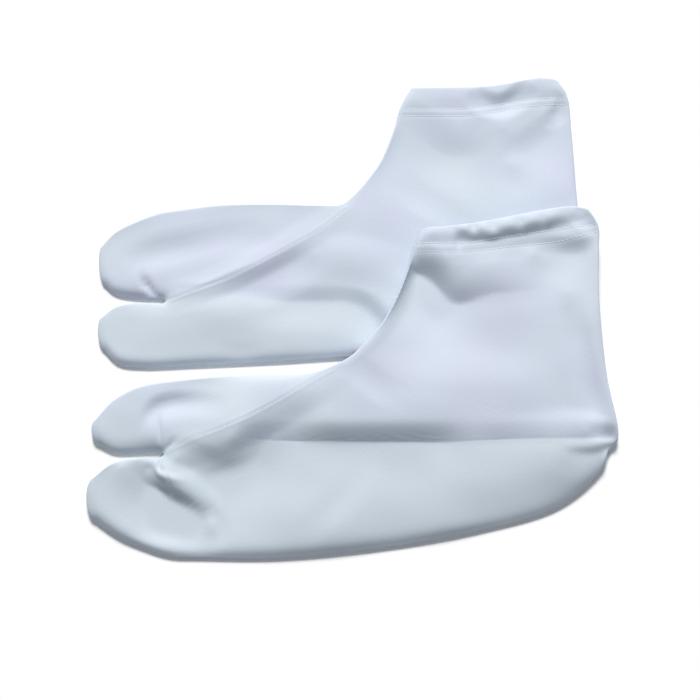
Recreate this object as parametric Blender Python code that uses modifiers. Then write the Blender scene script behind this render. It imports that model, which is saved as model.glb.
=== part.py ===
"""A pair of slip-on tabi socks of stretch jersey, laid flat, the front one partly over the rear one.

Each sock is one tube of cloth: rings run from the open mouth round the heel to the split between
the big toe and the other toes, where the tube goes on as two toe pockets with rounded, closed ends.
A ring is known from four places: its outer edge, the centre seam, the fold along the sole, and the
back or sole edge. The sock's height above what it lies on comes from its loft and a table of folds.
X runs from the toes to the heel, Y from the sole edge to the mouth, and the underside is at Z = 0.
"""

from collections import namedtuple

import bpy
import numpy as np
from mathutils import Vector
from mathutils.bvhtree import BVHTree

# ---- driving dimensions, in millimetres ----
MM = 0.001
WALL = 1.3              # jersey
HEM_WALL = 1.6          # jersey turned inside and stitched down
EDGE_HEIGHT = 4.2       # the folded cloth at the outline, top to underside
EDGE_ROUND = 1.6        # how far the roll of that edge reaches inwards
EDGE_SHARES = (0.7, 0.3)  # heights of the edge's own two rows, as shares of the edge's height
LOFT_REACH = 11.0       # how fast the sock thickens inwards from its edge
INNER_GAP = 0.5         # least air between the two layers
LYING_GAP = 0.5         # the front sock above the rear one
DRAPE_STEP = 3.0        # cell of the height grid that the front sock lies on
DRAPE_REACH = 2         # cells by which the rear sock's top is widened before the slope starts
DRAPE_SLOPE = 0.42      # steepest fall of the front sock from the rear one to the floor
DRAPE_MARGIN = 45.0     # how far the height grid reaches past the rear sock
SEAM_STRIPS = 4         # strips of cloth from the outer edge to the centre seam
FOLD_STRIPS = 6         # from the centre seam to the fold along the sole
SOLE_STRIPS = 4         # from that fold to the sole edge
HEM_RINGS = 3           # rings in the turned hem, from the mouth to its stitching

Section = namedtuple("Section", "place outer seam fold sole rings")
Toe = namedtuple("Toe", "place outer inner rings")
Fold = namedtuple("Fold", "name path reach rise")
Sock = namedtuple("Sock", "name loft sections upper_toe upper_bulge lower_toe lower_bulge folds")

# ---- the front sock: four-toe side up, its foot on the floor, its ankle over the rear sock ----
FRONT = Sock(
    name="front_sock",
    loft=5.8,
    sections=(
        Section("mouth", (30.5, 41), (49, 42.5), (84.5, 47), (106, 48.5), 1),
        Section("hem valley", (29, 35), (48, 35.5), (84.5, 42.5), (110, 44.5), 1),
        Section("hem stitching", (27, 29.5), (47, 30.5), (85, 37.5), (111, 40), 1),
        Section("below the hem", (24.5, 22), (42.5, 22.5), (89.5, 27.5), (110.5, 29.5), 1),
        Section("upper ankle", (21.5, 13.5), (38, 12.5), (92.5, 11), (110.2, 10), 2),
        Section("ankle", (17.5, 4.5), (33.5, 1.5), (96, -7), (111.3, -9), 2),
        Section("lower ankle", (12.5, -4), (27.5, -9), (101, -27), (113.5, -29), 2),
        Section("heel", (6, -11.5), (20, -17.5), (109.5, -50), (118, -51.5), 2),
        Section("instep", (-0.5, -18), (9.5, -24), (87, -54.7), (112, -65), 2),
        Section("end of the instep", (-7, -21.7), (0.5, -26.5), (45, -54.5), (92, -84), 2),
        Section("arch", (-20, -26), (-14, -31.5), (9.5, -53.6), (55, -96), 2),
        Section("front arch", (-40, -26.2), (-32, -38), (-21.5, -53.7), (12, -103.5), 2),
        Section("ball", (-64, -27.3), (-55.5, -49.7), (-51.5, -60), (-33, -107.8), 2),
        Section("toe split", (-86, -29.5), (-84, -62), (-79.5, -78), (-77, -107.5), 2),
    ),
    upper_toe=(
        Toe("split end", (-90, -30.2), (-85.3, -61.1), 1),
        Toe("pocket", (-97.5, -32.2), (-94.5, -61), 1),
        Toe("toe", (-107.5, -38), (-105.5, -61), 2),
        Toe("tip", (-115, -46.5), (-113, -57.5), 1),
    ),
    upper_bulge=2.4,
    lower_toe=(
        Toe("split end", (-85.3, -63), (-82.5, -106.6), 1),
        Toe("pocket", (-95.5, -63.5), (-91, -103.8), 1),
        Toe("toes", (-107, -66), (-102.5, -99), 2),
        Toe("tip", (-115.5, -72.5), (-114.5, -91), 1),
    ),
    lower_bulge=3.0,
    folds=(
        Fold("centre seam ridge", ((-10, -25.5), (-23.5, -33), (-47, -46), (-84, -62)), 5, 1.6),
        Fold("hollow under the seam", ((-20, -39), (-33, -45), (-47, -54), (-54, -62)), 9, -1.6),
        Fold("fold along the sole", ((114, -54), (40, -54.5), (-15, -53), (-40, -55)), 6, -2.6),
        Fold("roll of the sole", ((95, -66), (30, -70), (-30, -78)), 30, 2.2),
        Fold("pucker at the split", ((-84, -65), (-81, -72)), 5, 1.2),
        Fold("dip by the split", ((-87, -70.5), (-77, -79.5), (-64.5, -89)), 7, -2.2),
        Fold("rolled edge of the hem", ((49, 42.5), (84.5, 47), (103, 48.5)), 4.5, 1.2),
        Fold("valley in the hem", ((44, 34.5), (66.5, 37.5), (84.5, 42), (103, 46)), 4.5, -2.4),
        Fold("slack under the hem", ((24, 24), (36, 16), (47, 7), (62, 13), (84, 14)), 9, -1.8),
        Fold("slack at the back", ((90, 31), (113, 30)), 6, -1.4),
        Fold("slack on the side", ((-19, -93.5), (10, -69.5)), 9, -1.0),
        Fold("dent on the big toe", ((-91, -44), (-86, -38), (-61, -35)), 6, -1.0),
    ),
)

# ---- the rear sock: big-toe side up, all of it on the floor ----
REAR = Sock(
    name="rear_sock",
    loft=5.2,
    sections=(
        Section("mouth", (26.5, 107), (44.5, 107.5), (77, 111), (94.5, 111.5), 1),
        Section("hem middle", (24, 102), (44, 102), (77.5, 105.5), (98.5, 104), 1),
        Section("hem stitching", (22, 96), (43.5, 96), (77.5, 100.5), (99.5, 100), 1),
        Section("below the hem", (20.5, 90), (40, 89.5), (80, 90), (100, 90), 1),
        Section("upper ankle", (17.5, 81.5), (36, 80), (84, 75), (101, 74), 2),
        Section("ankle", (13.5, 72.5), (31, 69.5), (88, 57.5), (102, 56), 2),
        Section("lower ankle", (8, 65), (24, 60.5), (93.5, 39), (103.7, 37), 2),
        Section("heel", (2.5, 59), (16, 53.5), (100, 15.5), (107.5, 13), 2),
        Section("instep", (-1.5, 55), (8, 50.5), (83, 12.2), (104, 1.5), 2),
        Section("end of the instep", (-5.5, 52.3), (0, 48.5), (57, 12), (88, -8), 2),
        Section("arch", (-18, 52), (-11, 45.6), (24.5, 12), (52, -14), 2),
        Section("front arch", (-38, 52.5), (-26, 35.1), (-9, 10.5), (10, -17), 2),
        Section("ball", (-62, 52), (-50, 21), (-43.5, 5), (-34, -20), 2),
        Section("toe split", (-85.5, 49), (-84.5, 7.6), (-80.5, -7), (-77.5, -22), 2),
    ),
    upper_toe=(
        Toe("split end", (-89, 48.1), (-85.8, 8.5), 1),
        Toe("pocket", (-97.5, 45), (-96, 9), 1),
        Toe("toes", (-108, 39.5), (-107, 11), 2),
        Toe("tip", (-114, 33), (-112.5, 15.5), 1),
    ),
    upper_bulge=1.8,
    lower_toe=(
        Toe("split end", (-85.8, 6.6), (-83.5, -22.3), 1),
        Toe("pocket", (-97, 7), (-94, -22.5), 1),
        Toe("toe", (-107, 5), (-105, -21), 2),
        Toe("tip", (-113.5, 0), (-112, -14.5), 1),
    ),
    lower_bulge=2.0,
    folds=(
        Fold("centre seam ridge", ((-8, 49), (-20.5, 39), (-45, 23), (-62, 15.5), (-84.5, 7.5)), 5, 1.4),
        Fold("hollow under the seam", ((-19.5, 30.5), (-37.5, 22.5), (-57.5, 12)), 8, -1.0),
        Fold("fold along the sole", ((-28.5, 9), (-6, 11), (30, 12)), 6, -1.4),
        Fold("roll of the sole", ((40, -1), (-20, -5), (-70, -8)), 16, 1.0),
        Fold("hollow of the four toes", ((-100, 26), (-87, 34), (-67, 36.5), (-24, 38)), 9, -1.2),
        Fold("tuck by the split", ((-86, 9), (-89, 13.5), (-93, 17)), 4, -1.2),
        Fold("dent in the hem", ((59, 104.5), (68, 101), (80, 107.5)), 4.5, -1.4),
        Fold("slack under the hem", ((22, 90), (35, 83), (51, 74), (67, 79)), 9, -1.2),
        Fold("slack at the back", ((99, 93), (87.5, 84.5), (78.5, 77.5)), 7, -1.0),
    ),
)


def spline(points, rings, before=None):
    """A smooth curve through the points, with the given number of steps up to each next point."""
    points = np.asarray(points, dtype=float)
    first = points[0] * 2 - points[1] if before is None else np.asarray(before, dtype=float)
    last = points[-1] * 2 - points[-2]
    run = np.vstack([first[None], points, last[None]])
    curve = [points[0]]
    for here, steps in enumerate(rings):
        p0, p1, p2, p3 = run[here:here + 4]
        for step in range(1, steps + 1):
            t = step / steps
            curve.append(0.5 * (2 * p1 + (p2 - p0) * t + (2 * p0 - 5 * p1 + 4 * p2 - p3) * t ** 2
                                + (3 * p1 - p0 - 3 * p2 + p3) * t ** 3))
    return np.array(curve)


def inward_normals(chain, inside):
    """Unit normals of a chain of outline points, each turned towards its partner inside."""
    along = np.gradient(chain, axis=0)
    across = np.column_stack([-along[:, 1], along[:, 0]])
    across /= np.linalg.norm(across, axis=1)[:, None]
    side = np.sign(np.sum(across * (inside - chain), axis=1))
    return across * np.where(side == 0, 1, side)[:, None]


def distance_to(path, places):
    """Distance from each place to the nearest point of a path of straight stretches."""
    path = np.asarray(path, dtype=float)
    nearest = np.full(len(places), np.inf)
    for start, end in zip(path[:-1], path[1:]):
        run = end - start
        share = np.clip((places - start) @ run / max(run @ run, 1e-9), 0, 1)
        gap = np.linalg.norm(places - start - share[:, None] * run, axis=1)
        nearest = np.minimum(nearest, gap)
    return nearest


def between(start, end, strips, ease_start=1.0, ease_end=1.0):
    """Points from start to end, closer together near an end whose ease is over 1."""
    shares = (np.arange(strips + 1) / strips) ** ease_start
    shares = 1 - (1 - shares) ** ease_end
    return start + shares[:, None] * (end - start)


def body_rows(sock):
    """The rings of the foot and ankle: outline points at both edges, and the rows between them."""
    rings = [section.rings for section in sock.sections[1:]]
    outer, seam, fold, sole = (
        spline([getattr(section, column) for section in sock.sections], rings)
        for column in ("outer", "seam", "fold", "sole")
    )
    outer_in = outer + EDGE_ROUND * inward_normals(outer, seam)
    sole_in = sole + EDGE_ROUND * inward_normals(sole, fold)
    split_in = seam[-1] + EDGE_ROUND * (seam[-2] - seam[-1]) / np.linalg.norm(seam[-2] - seam[-1])
    split = seam[-1].copy()
    seam[-1] = split_in
    rows = []
    for a, s, f, b in zip(outer_in, seam, fold, sole_in):
        rows.append(np.vstack([
            between(a, s, SEAM_STRIPS, ease_start=1.25)[:-1],
            between(s, f, FOLD_STRIPS)[:-1],
            between(f, b, SOLE_STRIPS, ease_end=1.25),
        ]))
    return outer, sole, split, np.array(rows)


def pocket_rows(toe, bulge, split, outer, outer_before, base_rows):
    """The rings of one toe pocket, its outline chains and the outline of its rounded end."""
    rings = [section.rings for section in toe]
    outer = spline([outer] + [section.outer for section in toe], rings, outer_before)
    inner = spline([split] + [section.inner for section in toe], rings)
    spans = np.linalg.norm(np.diff(base_rows, axis=0), axis=1)
    shares = np.concatenate([[0], np.cumsum(spans) / spans.sum()])
    chord = inner[-1] - outer[-1]
    forward = outer[-1] + inner[-1] - outer[-2] - inner[-2]
    forward -= chord * (forward @ chord) / (chord @ chord)
    forward /= np.linalg.norm(forward)
    swell = bulge * np.maximum(1 - np.abs(2 * shares - 1) ** 2.2, 0) ** 0.7
    end = outer[-1] + shares[:, None] * chord + swell[:, None] * forward
    outer_normal = inward_normals(outer, inner)
    inner_normal = inward_normals(inner, outer)
    end_normal = inward_normals(end, end - forward)
    end_normal[0] = outer_normal[-1] - forward
    end_normal[-1] = inner_normal[-1] - forward
    end_normal /= np.linalg.norm(end_normal, axis=1)[:, None]
    rows = [base_rows]
    for a, b in zip(outer[1:-1] + EDGE_ROUND * outer_normal[1:-1],
                    inner[1:-1] + EDGE_ROUND * inner_normal[1:-1]):
        rows.append(a + shares[:, None] * (b - a))
    rows.append(end + EDGE_ROUND * end_normal)
    return outer, inner, end, rows


class Cloth:
    """Points and faces of one sock's outer side, with heights worked out from loft and folds."""

    def __init__(self, sock, lying):
        self.sock = sock
        self.lying = lying
        self.outline = []
        self.points = []
        self.faces = []

    def thickness(self, places):
        """Height of the sock at each place, from its underside to its top."""
        inwards = np.min([distance_to(path, places) for path in self.outline], axis=0)
        inwards = np.maximum(inwards - EDGE_ROUND, 0)
        rise = 1 - np.exp(-inwards / LOFT_REACH)
        height = np.full(len(places), self.sock.loft)
        for fold in self.sock.folds:
            share = np.minimum(distance_to(fold.path, places) / fold.reach, 1)
            height += fold.rise * (1 - share ** 2) ** 2
        height = EDGE_HEIGHT + (height - EDGE_HEIGHT) * rise
        return np.maximum(height, 2 * HEM_WALL + INNER_GAP)

    def row(self, places):
        """Adds the top and underside points of a row and gives their two lists of numbers."""
        floor = self.lying(places)
        top = floor + self.thickness(places)
        first = len(self.points)
        self.points += [(x, y, z) for (x, y), z in zip(places, top)]
        self.points += [(x, y, z) for (x, y), z in zip(places, floor)]
        count = len(places)
        return list(range(first, first + count)), list(range(first + count, first + 2 * count))

    def edge(self, place):
        """Adds the points of the rolled edge at an outline place, from the top down."""
        floor = self.lying(np.array([place]))[0]
        first = len(self.points)
        self.points += [(place[0], place[1], floor + EDGE_HEIGHT * share) for share in EDGE_SHARES]
        return list(range(first, first + len(EDGE_SHARES)))

    def strip(self, one, other):
        """Faces between two lists of points that run side by side."""
        for k in range(len(one) - 1):
            self.faces.append((one[k], other[k], other[k + 1], one[k + 1]))


def ring_loop(top, under, left, right):
    """One closed ring: over the top, down the right edge, back below and up the left edge."""
    return top + right + under[::-1] + left[::-1] + top[:1]


def make_cloth(sock, lying):
    """The outer side of a whole sock, open at its mouth only."""
    cloth = Cloth(sock, lying)
    outer, sole, split, rows = body_rows(sock)
    pockets = (
        pocket_rows(sock.upper_toe, sock.upper_bulge, split, outer[-1], outer[-2],
                    rows[-1][:SEAM_STRIPS + 1]),
        pocket_rows(
            tuple(Toe(toe.place, toe.inner, toe.outer, toe.rings) for toe in sock.lower_toe),
            sock.lower_bulge, split, sole[-1], sole[-2], rows[-1][SEAM_STRIPS:][::-1]),
    )
    cloth.outline = [outer, sole]
    for pocket in pockets:
        cloth.outline += list(pocket[:3])

    previous = None
    for a, b, places in zip(outer, sole, rows):
        top, under = cloth.row(places)
        left, right = cloth.edge(a), cloth.edge(b)
        loop = ring_loop(top, under, left, right)
        if previous:
            cloth.strip(previous, loop)
        previous = loop
    split_edge = cloth.edge(split)

    for number, (side, inner, end, places) in enumerate(pockets):
        if number == 0:
            own_top, own_under = top[:SEAM_STRIPS + 1], under[:SEAM_STRIPS + 1]
            side_edge = left
        else:
            own_top, own_under = top[SEAM_STRIPS:][::-1], under[SEAM_STRIPS:][::-1]
            side_edge = right
        previous = ring_loop(own_top, own_under, side_edge, split_edge)
        for ring in range(1, len(places)):
            ring_top, ring_under = cloth.row(places[ring])
            ring_left, ring_right = cloth.edge(side[ring]), cloth.edge(inner[ring])
            loop = ring_loop(ring_top, ring_under, ring_left, ring_right)
            if number == 0:
                cloth.strip(previous, loop)
            else:
                cloth.strip(loop, previous)
            previous = loop
        end_edges = [ring_left] + [cloth.edge(place) for place in end[1:-1]] + [ring_right]
        columns = [[t] + edge + [u] for t, edge, u in zip(ring_top, end_edges, ring_under)]
        for one, other in zip(columns[:-1], columns[1:]):
            if number == 0:
                cloth.strip(other, one)
            else:
                cloth.strip(one, other)
    return cloth


def floor_only(places):
    """The floor, flat at height 0."""
    return np.zeros(len(places))


def lying_over(cloth):
    """Heights of a surface that lies on the floor and slopes smoothly up over another sock."""
    points = np.array(cloth.points)
    low = points[:, :2].min(axis=0) - DRAPE_MARGIN
    high = points[:, :2].max(axis=0) + DRAPE_MARGIN
    xs = np.arange(low[0], high[0], DRAPE_STEP)
    ys = np.arange(low[1], high[1], DRAPE_STEP)
    tree = BVHTree.FromPolygons([Vector(point) for point in cloth.points], cloth.faces)
    above = points[:, 2].max() + 1
    grid = np.zeros((len(xs), len(ys)))
    for i, x in enumerate(xs):
        for j, y in enumerate(ys):
            hit = tree.ray_cast(Vector((x, y, above)), Vector((0, 0, -1)))[0]
            if hit is not None:
                grid[i, j] = hit.z + LYING_GAP

    def shifted(values, by_x, by_y):
        return np.roll(np.roll(values, by_x, axis=0), by_y, axis=1)

    ring = [(i, j) for i in (-1, 0, 1) for j in (-1, 0, 1)]
    for _ in range(DRAPE_REACH):
        grid = np.max([shifted(grid, i, j) for i, j in ring], axis=0)
    for _ in range(int(DRAPE_MARGIN / DRAPE_STEP)):
        falls = [shifted(grid, i, j) - DRAPE_SLOPE * DRAPE_STEP * np.hypot(i, j) for i, j in ring]
        grid = np.max(falls, axis=0)
    for _ in range(DRAPE_REACH):
        grid = np.mean([shifted(grid, i, j) for i, j in ring], axis=0)

    def height(places):
        cell = (places - low) / DRAPE_STEP
        cell = np.clip(cell, 0, np.array(grid.shape) - 2)
        whole = np.floor(cell).astype(int)
        part = cell - whole
        i, j = whole.T
        u, v = part.T
        return (grid[i, j] * (1 - u) * (1 - v) + grid[i + 1, j] * u * (1 - v)
                + grid[i, j + 1] * (1 - u) * v + grid[i + 1, j + 1] * u * v)

    return height


def jersey(name, colour):
    """Smooth white stretch jersey."""
    material = bpy.data.materials.new(name)
    material.use_nodes = True
    shader = material.node_tree.nodes["Principled BSDF"]
    shader.inputs["Base Color"].default_value = colour
    shader.inputs["Roughness"].default_value = 0.62
    shader.inputs["Metallic"].default_value = 0.0
    return material


def box_middle(cloths):
    """The middle of the box round all the cloth, seen from above."""
    points = np.vstack([cloth.points for cloth in cloths])[:, :2]
    return (points.min(axis=0) + points.max(axis=0)) / 2


def make_sock(cloth, middle, material, collection):
    """The sock as an object whose cloth gets its thickness inwards, thicker at the hem."""
    points = (np.array(cloth.points) - [middle[0], middle[1], 0]) * MM
    mesh = bpy.data.meshes.new(cloth.sock.name)
    mesh.from_pydata(points.tolist(), [], cloth.faces)
    mesh.shade_smooth()
    mesh.materials.append(material)
    sock = bpy.data.objects.new(cloth.sock.name, mesh)
    collection.objects.link(sock)

    hem = sock.vertex_groups.new(name="hem")
    strips = SEAM_STRIPS + FOLD_STRIPS + SOLE_STRIPS
    ring_points = 2 * (strips + 1) + 2 * len(EDGE_SHARES)
    hem.add(list(range(HEM_RINGS * ring_points)), 1.0, "REPLACE")
    wall = sock.modifiers.new("wall", "SOLIDIFY")
    wall.thickness = HEM_WALL * MM
    wall.offset = -1
    wall.vertex_group = "hem"
    wall.thickness_vertex_group = WALL / HEM_WALL


def main():
    for thing in list(bpy.data.objects):
        bpy.data.objects.remove(thing, do_unlink=True)
    collection = bpy.data.collections.new("pair_of_tabi_socks")
    bpy.context.scene.collection.children.link(collection)

    rear = make_cloth(REAR, floor_only)
    front = make_cloth(FRONT, lying_over(rear))
    middle = box_middle([rear, front])
    make_sock(rear, middle, jersey("rear jersey", (0.70, 0.75, 0.82, 1)), collection)
    make_sock(front, middle, jersey("front jersey", (0.68, 0.73, 0.79, 1)), collection)


main()
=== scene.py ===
# %% [markdown]
# # A pair of tabi socks, laid flat
#
# These are slip-on tabi: ankle socks of smooth white stretch jersey, with one pocket for the big
# toe and another for the other four. The pair lies flat on a table, one sock partly over the other.
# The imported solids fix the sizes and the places. This lesson dresses them as thin cloth with
# creases, a turned hem, a centre seam, stitches and a knitted surface.
#
# Cloth like this could be simulated. But a sock that a hand has smoothed flat keeps a few
# particular creases and no others, so here the whole sock is a height over an outline, and each
# crease is a row in a table. That is quick, it gives the same result each time, and any crease can
# be moved by itself.

import math
from collections import namedtuple

import bpy
import numpy as np
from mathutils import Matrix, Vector
from mathutils.bvhtree import BVHTree


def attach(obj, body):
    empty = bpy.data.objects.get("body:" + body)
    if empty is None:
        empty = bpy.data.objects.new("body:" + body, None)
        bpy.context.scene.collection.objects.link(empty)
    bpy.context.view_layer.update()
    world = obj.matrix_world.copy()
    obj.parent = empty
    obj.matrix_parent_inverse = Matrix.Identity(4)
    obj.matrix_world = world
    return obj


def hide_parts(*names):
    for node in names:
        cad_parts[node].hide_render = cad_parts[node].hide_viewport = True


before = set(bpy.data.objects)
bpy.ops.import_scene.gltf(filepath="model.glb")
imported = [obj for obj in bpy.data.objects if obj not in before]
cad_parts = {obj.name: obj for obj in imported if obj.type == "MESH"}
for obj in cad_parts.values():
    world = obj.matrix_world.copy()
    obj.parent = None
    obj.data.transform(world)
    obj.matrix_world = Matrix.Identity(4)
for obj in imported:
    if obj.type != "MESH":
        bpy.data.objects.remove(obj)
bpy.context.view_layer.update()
print("packed nodes:", ", ".join(sorted(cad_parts)))

# %% [markdown]
# ## Sizes of the cloth
#
# The cloth's sizes are in millimetres, because that is how a maker would write them down, and they
# are turned into metres when a mesh is made. The hem is the same jersey, folded inside once. How fine
# the mesh is comes from here too: rings go round the sock, and columns cross them.

# %% Sizes
MM = 0.001
WALL = 0.6            # jersey
TURN = 2 * WALL + 0.1    # the folded hem, from its outer face to the face of the part inside
HEM_TAIL = 2          # rings of that jersey past the lower stitching
LAYER_GAP = 0.3       # at least this much air between the two layers of a flat sock
LEAST_HEIGHT = 2 * WALL + LAYER_GAP
LYING_GAP = 0.5       # the front sock above the rear one
EDGE_ROUND = 0.8      # how far the roll at the outline reaches inwards
EDGE_WIDEST = 0.5     # the roll is widest at this share of its height
EDGE_START = 60       # degrees above its widest point at which the roll leaves the cloth
EDGE_ROWS = 6         # rows of points round that roll
OUTLINE_STEP = 1.0    # how finely the outline is followed where it pulls the cloth down
SEAM_COLUMNS = 18     # columns of cloth from the outer edge to the centre seam
FOLD_COLUMNS = 32     # from the centre seam to the fold along the sole
SOLE_COLUMNS = 20     # from that fold to the sole edge
TOP_POINTS = SEAM_COLUMNS + FOLD_COLUMNS + SOLE_COLUMNS + 1
print(f"jersey of {WALL} mm, doubled to {TURN} mm at the hem")

# %% [markdown]
# ## The outline of each sock
#
# A sock is one tube, so it can be described by rings from the mouth, round the heel, to the split
# between the toes, and then by smaller rings along two toe pockets. Each row below is one ring seen
# from above, known from four places on it: the outer edge, the centre seam, the fold along the
# sole, and the back or sole edge. A smooth curve runs through the places in each column, and the
# last number says how many fine rings are made up to that row. The places follow those of the packed
# solids, so the cloth fits them, with more rows where the hem is stitched and the heel turns.

# %% The front sock's outline
Section = namedtuple("Section", "place outer seam fold sole rings")
Toe = namedtuple("Toe", "place outer inner rings")

FRONT_SECTIONS = (
    Section("mouth", (30.4, 38.8), (48.9, 39.3), (98, 49.6), (106.3, 48.2), 0),
    Section("rolled edge", (29, 36), (47.6, 35.8), (96, 44.6), (109, 44.4), 8),
    Section("upper stitching", (27.4, 32.2), (46.8, 31.4), (93, 38.9), (110.4, 41.4), 7),
    Section("lower stitching", (26.3, 28.6), (46.2, 27.6), (93, 33.2), (111, 38), 6),
    Section("below the hem", (24.5, 22), (42.5, 22.5), (87, 27.2), (110.6, 30), 7),
    Section("upper ankle", (21.5, 13.5), (38, 12.5), (92.5, 11), (110.2, 10), 14),
    Section("ankle", (17.5, 4.5), (33.5, 1.5), (96, -7), (111.3, -9), 14),
    Section("lower ankle", (12.5, -4), (27.5, -9), (101, -27), (113.5, -29), 14),
    Section("heel", (6, -11.5), (20, -17.5), (109.5, -50), (118, -51.5), 14),
    Section("heel corner", (3.6, -13.8), (16, -19.8), (102, -52.6), (117.3, -56.6), 6),
    Section("under the heel corner", (2.2, -15.4), (13.6, -21.4), (96, -53.8), (113.6, -60.4), 6),
    Section("instep", (-0.5, -18), (9.5, -24), (87, -55.3), (110.6, -68), 8),
    Section("end of the instep", (-7, -21.7), (0.5, -26.5), (45, -56.6), (91, -85), 14),
    Section("arch", (-20, -26), (-14.8, -30.8), (9.5, -56.5), (55, -96), 14),
    Section("front arch", (-40, -26.2), (-32.5, -38), (-21.5, -56.2), (12, -103.5), 14),
    Section("ball", (-64, -27.3), (-56, -49.6), (-51.5, -60), (-33, -107.8), 24),
    Section("toe split", (-86, -29.5), (-84, -62), (-79.5, -78), (-77, -107.5), 28),
)
FRONT_UPPER_TOE = (
    Toe("split end", (-90, -30.2), (-85.3, -61.1), 3),
    Toe("pocket", (-97.5, -32.2), (-94.5, -61), 8),
    Toe("toe", (-107.5, -38), (-105.5, -61), 12),
    Toe("tip", (-115, -46.5), (-113, -57.5), 8),
)
FRONT_LOWER_TOE = (
    Toe("split end", (-82.5, -106.6), (-85.3, -63), 3),
    Toe("pocket", (-91, -103.8), (-95.5, -63.5), 12),
    Toe("toes", (-102.5, -99), (-107, -66), 14),
    Toe("tip", (-114.5, -91), (-115.5, -72.5), 9),
)
print(f"front sock: {len(FRONT_SECTIONS)} rings by hand and two pockets of {len(FRONT_UPPER_TOE)}")

# %% The rear sock's outline
REAR_SECTIONS = (
    Section("mouth", (26.6, 107), (62, 106.5), (86, 112.1), (94.6, 110.6), 0),
    Section("hem middle", (23.6, 102.2), (58, 101.3), (80, 105.9), (97.6, 106.2), 7),
    Section("upper stitching", (21.4, 97.4), (52, 96.6), (76, 101.2), (98.8, 102.8), 7),
    Section("lower stitching", (20.4, 94), (51, 93.2), (77, 97.8), (99.5, 99.4), 5),
    Section("below the hem", (19.4, 90), (46, 89.5), (79, 91), (100, 90), 6),
    Section("upper ankle", (16.4, 81.5), (36, 80), (84, 75), (101, 74), 14),
    Section("ankle", (12.5, 72.5), (31, 69.5), (88, 57.5), (102, 56), 14),
    Section("lower ankle", (7.4, 65), (24, 60.5), (93.5, 39), (103.7, 37), 14),
    Section("heel", (2.5, 59), (16, 53.5), (100, 15.5), (107.5, 13), 14),
    Section("instep", (-1.5, 55), (8, 50.5), (83, 12.2), (104, 1.5), 14),
    Section("end of the instep", (-5.5, 52.3), (0, 48.5), (57, 12), (88, -8), 14),
    Section("arch", (-18, 52), (-12, 44.8), (24.5, 12), (52, -14), 14),
    Section("front arch", (-38, 52.5), (-26, 35.1), (-9, 10.5), (10, -17), 14),
    Section("ball", (-62, 52), (-50, 20.8), (-43.5, 5), (-34, -20), 16),
    Section("toe split", (-85.5, 49), (-84.5, 7.6), (-80.5, -7), (-77.5, -22), 18),
)
REAR_UPPER_TOE = (
    Toe("split end", (-89, 48.1), (-85.8, 8.5), 3),
    Toe("pocket", (-97.5, 45), (-96, 9), 8),
    Toe("toes", (-108, 39.5), (-107, 11), 12),
    Toe("tip", (-114, 33), (-112.5, 15.5), 8),
)
REAR_LOWER_TOE = (
    Toe("split end", (-83.5, -22.3), (-85.8, 6.6), 3),
    Toe("pocket", (-94, -22.5), (-97, 7), 8),
    Toe("toe", (-105, -21), (-107, 5), 12),
    Toe("tip", (-112, -14.5), (-113.5, 0), 8),
)
print(f"rear sock: {len(REAR_SECTIONS)} rings by hand and two pockets of {len(REAR_UPPER_TOE)}")

# %% [markdown]
# ## The creases
#
# A crease is a path seen from above with a lift at each of its places: over 0 for a ridge, under 0
# for a trough. It reaches further on one side than on the other, because cloth falls steeply on one
# side of a fold and recovers slowly on the other. Most paths run from the toes to the heel, so their
# left is the mouth's side and their right is the sole's side. A soft crease is round at its line,
# and a sharp one, near 1, is folded there.
#
# Noise could crumple the cloth too, but real creases come from somewhere: from the seams that pull,
# the hem that rolls and the ankle that was folded over. So these are placed one by one.

# %% The front sock's creases
Crease = namedtuple("Crease", "name left right sharp path")

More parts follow.
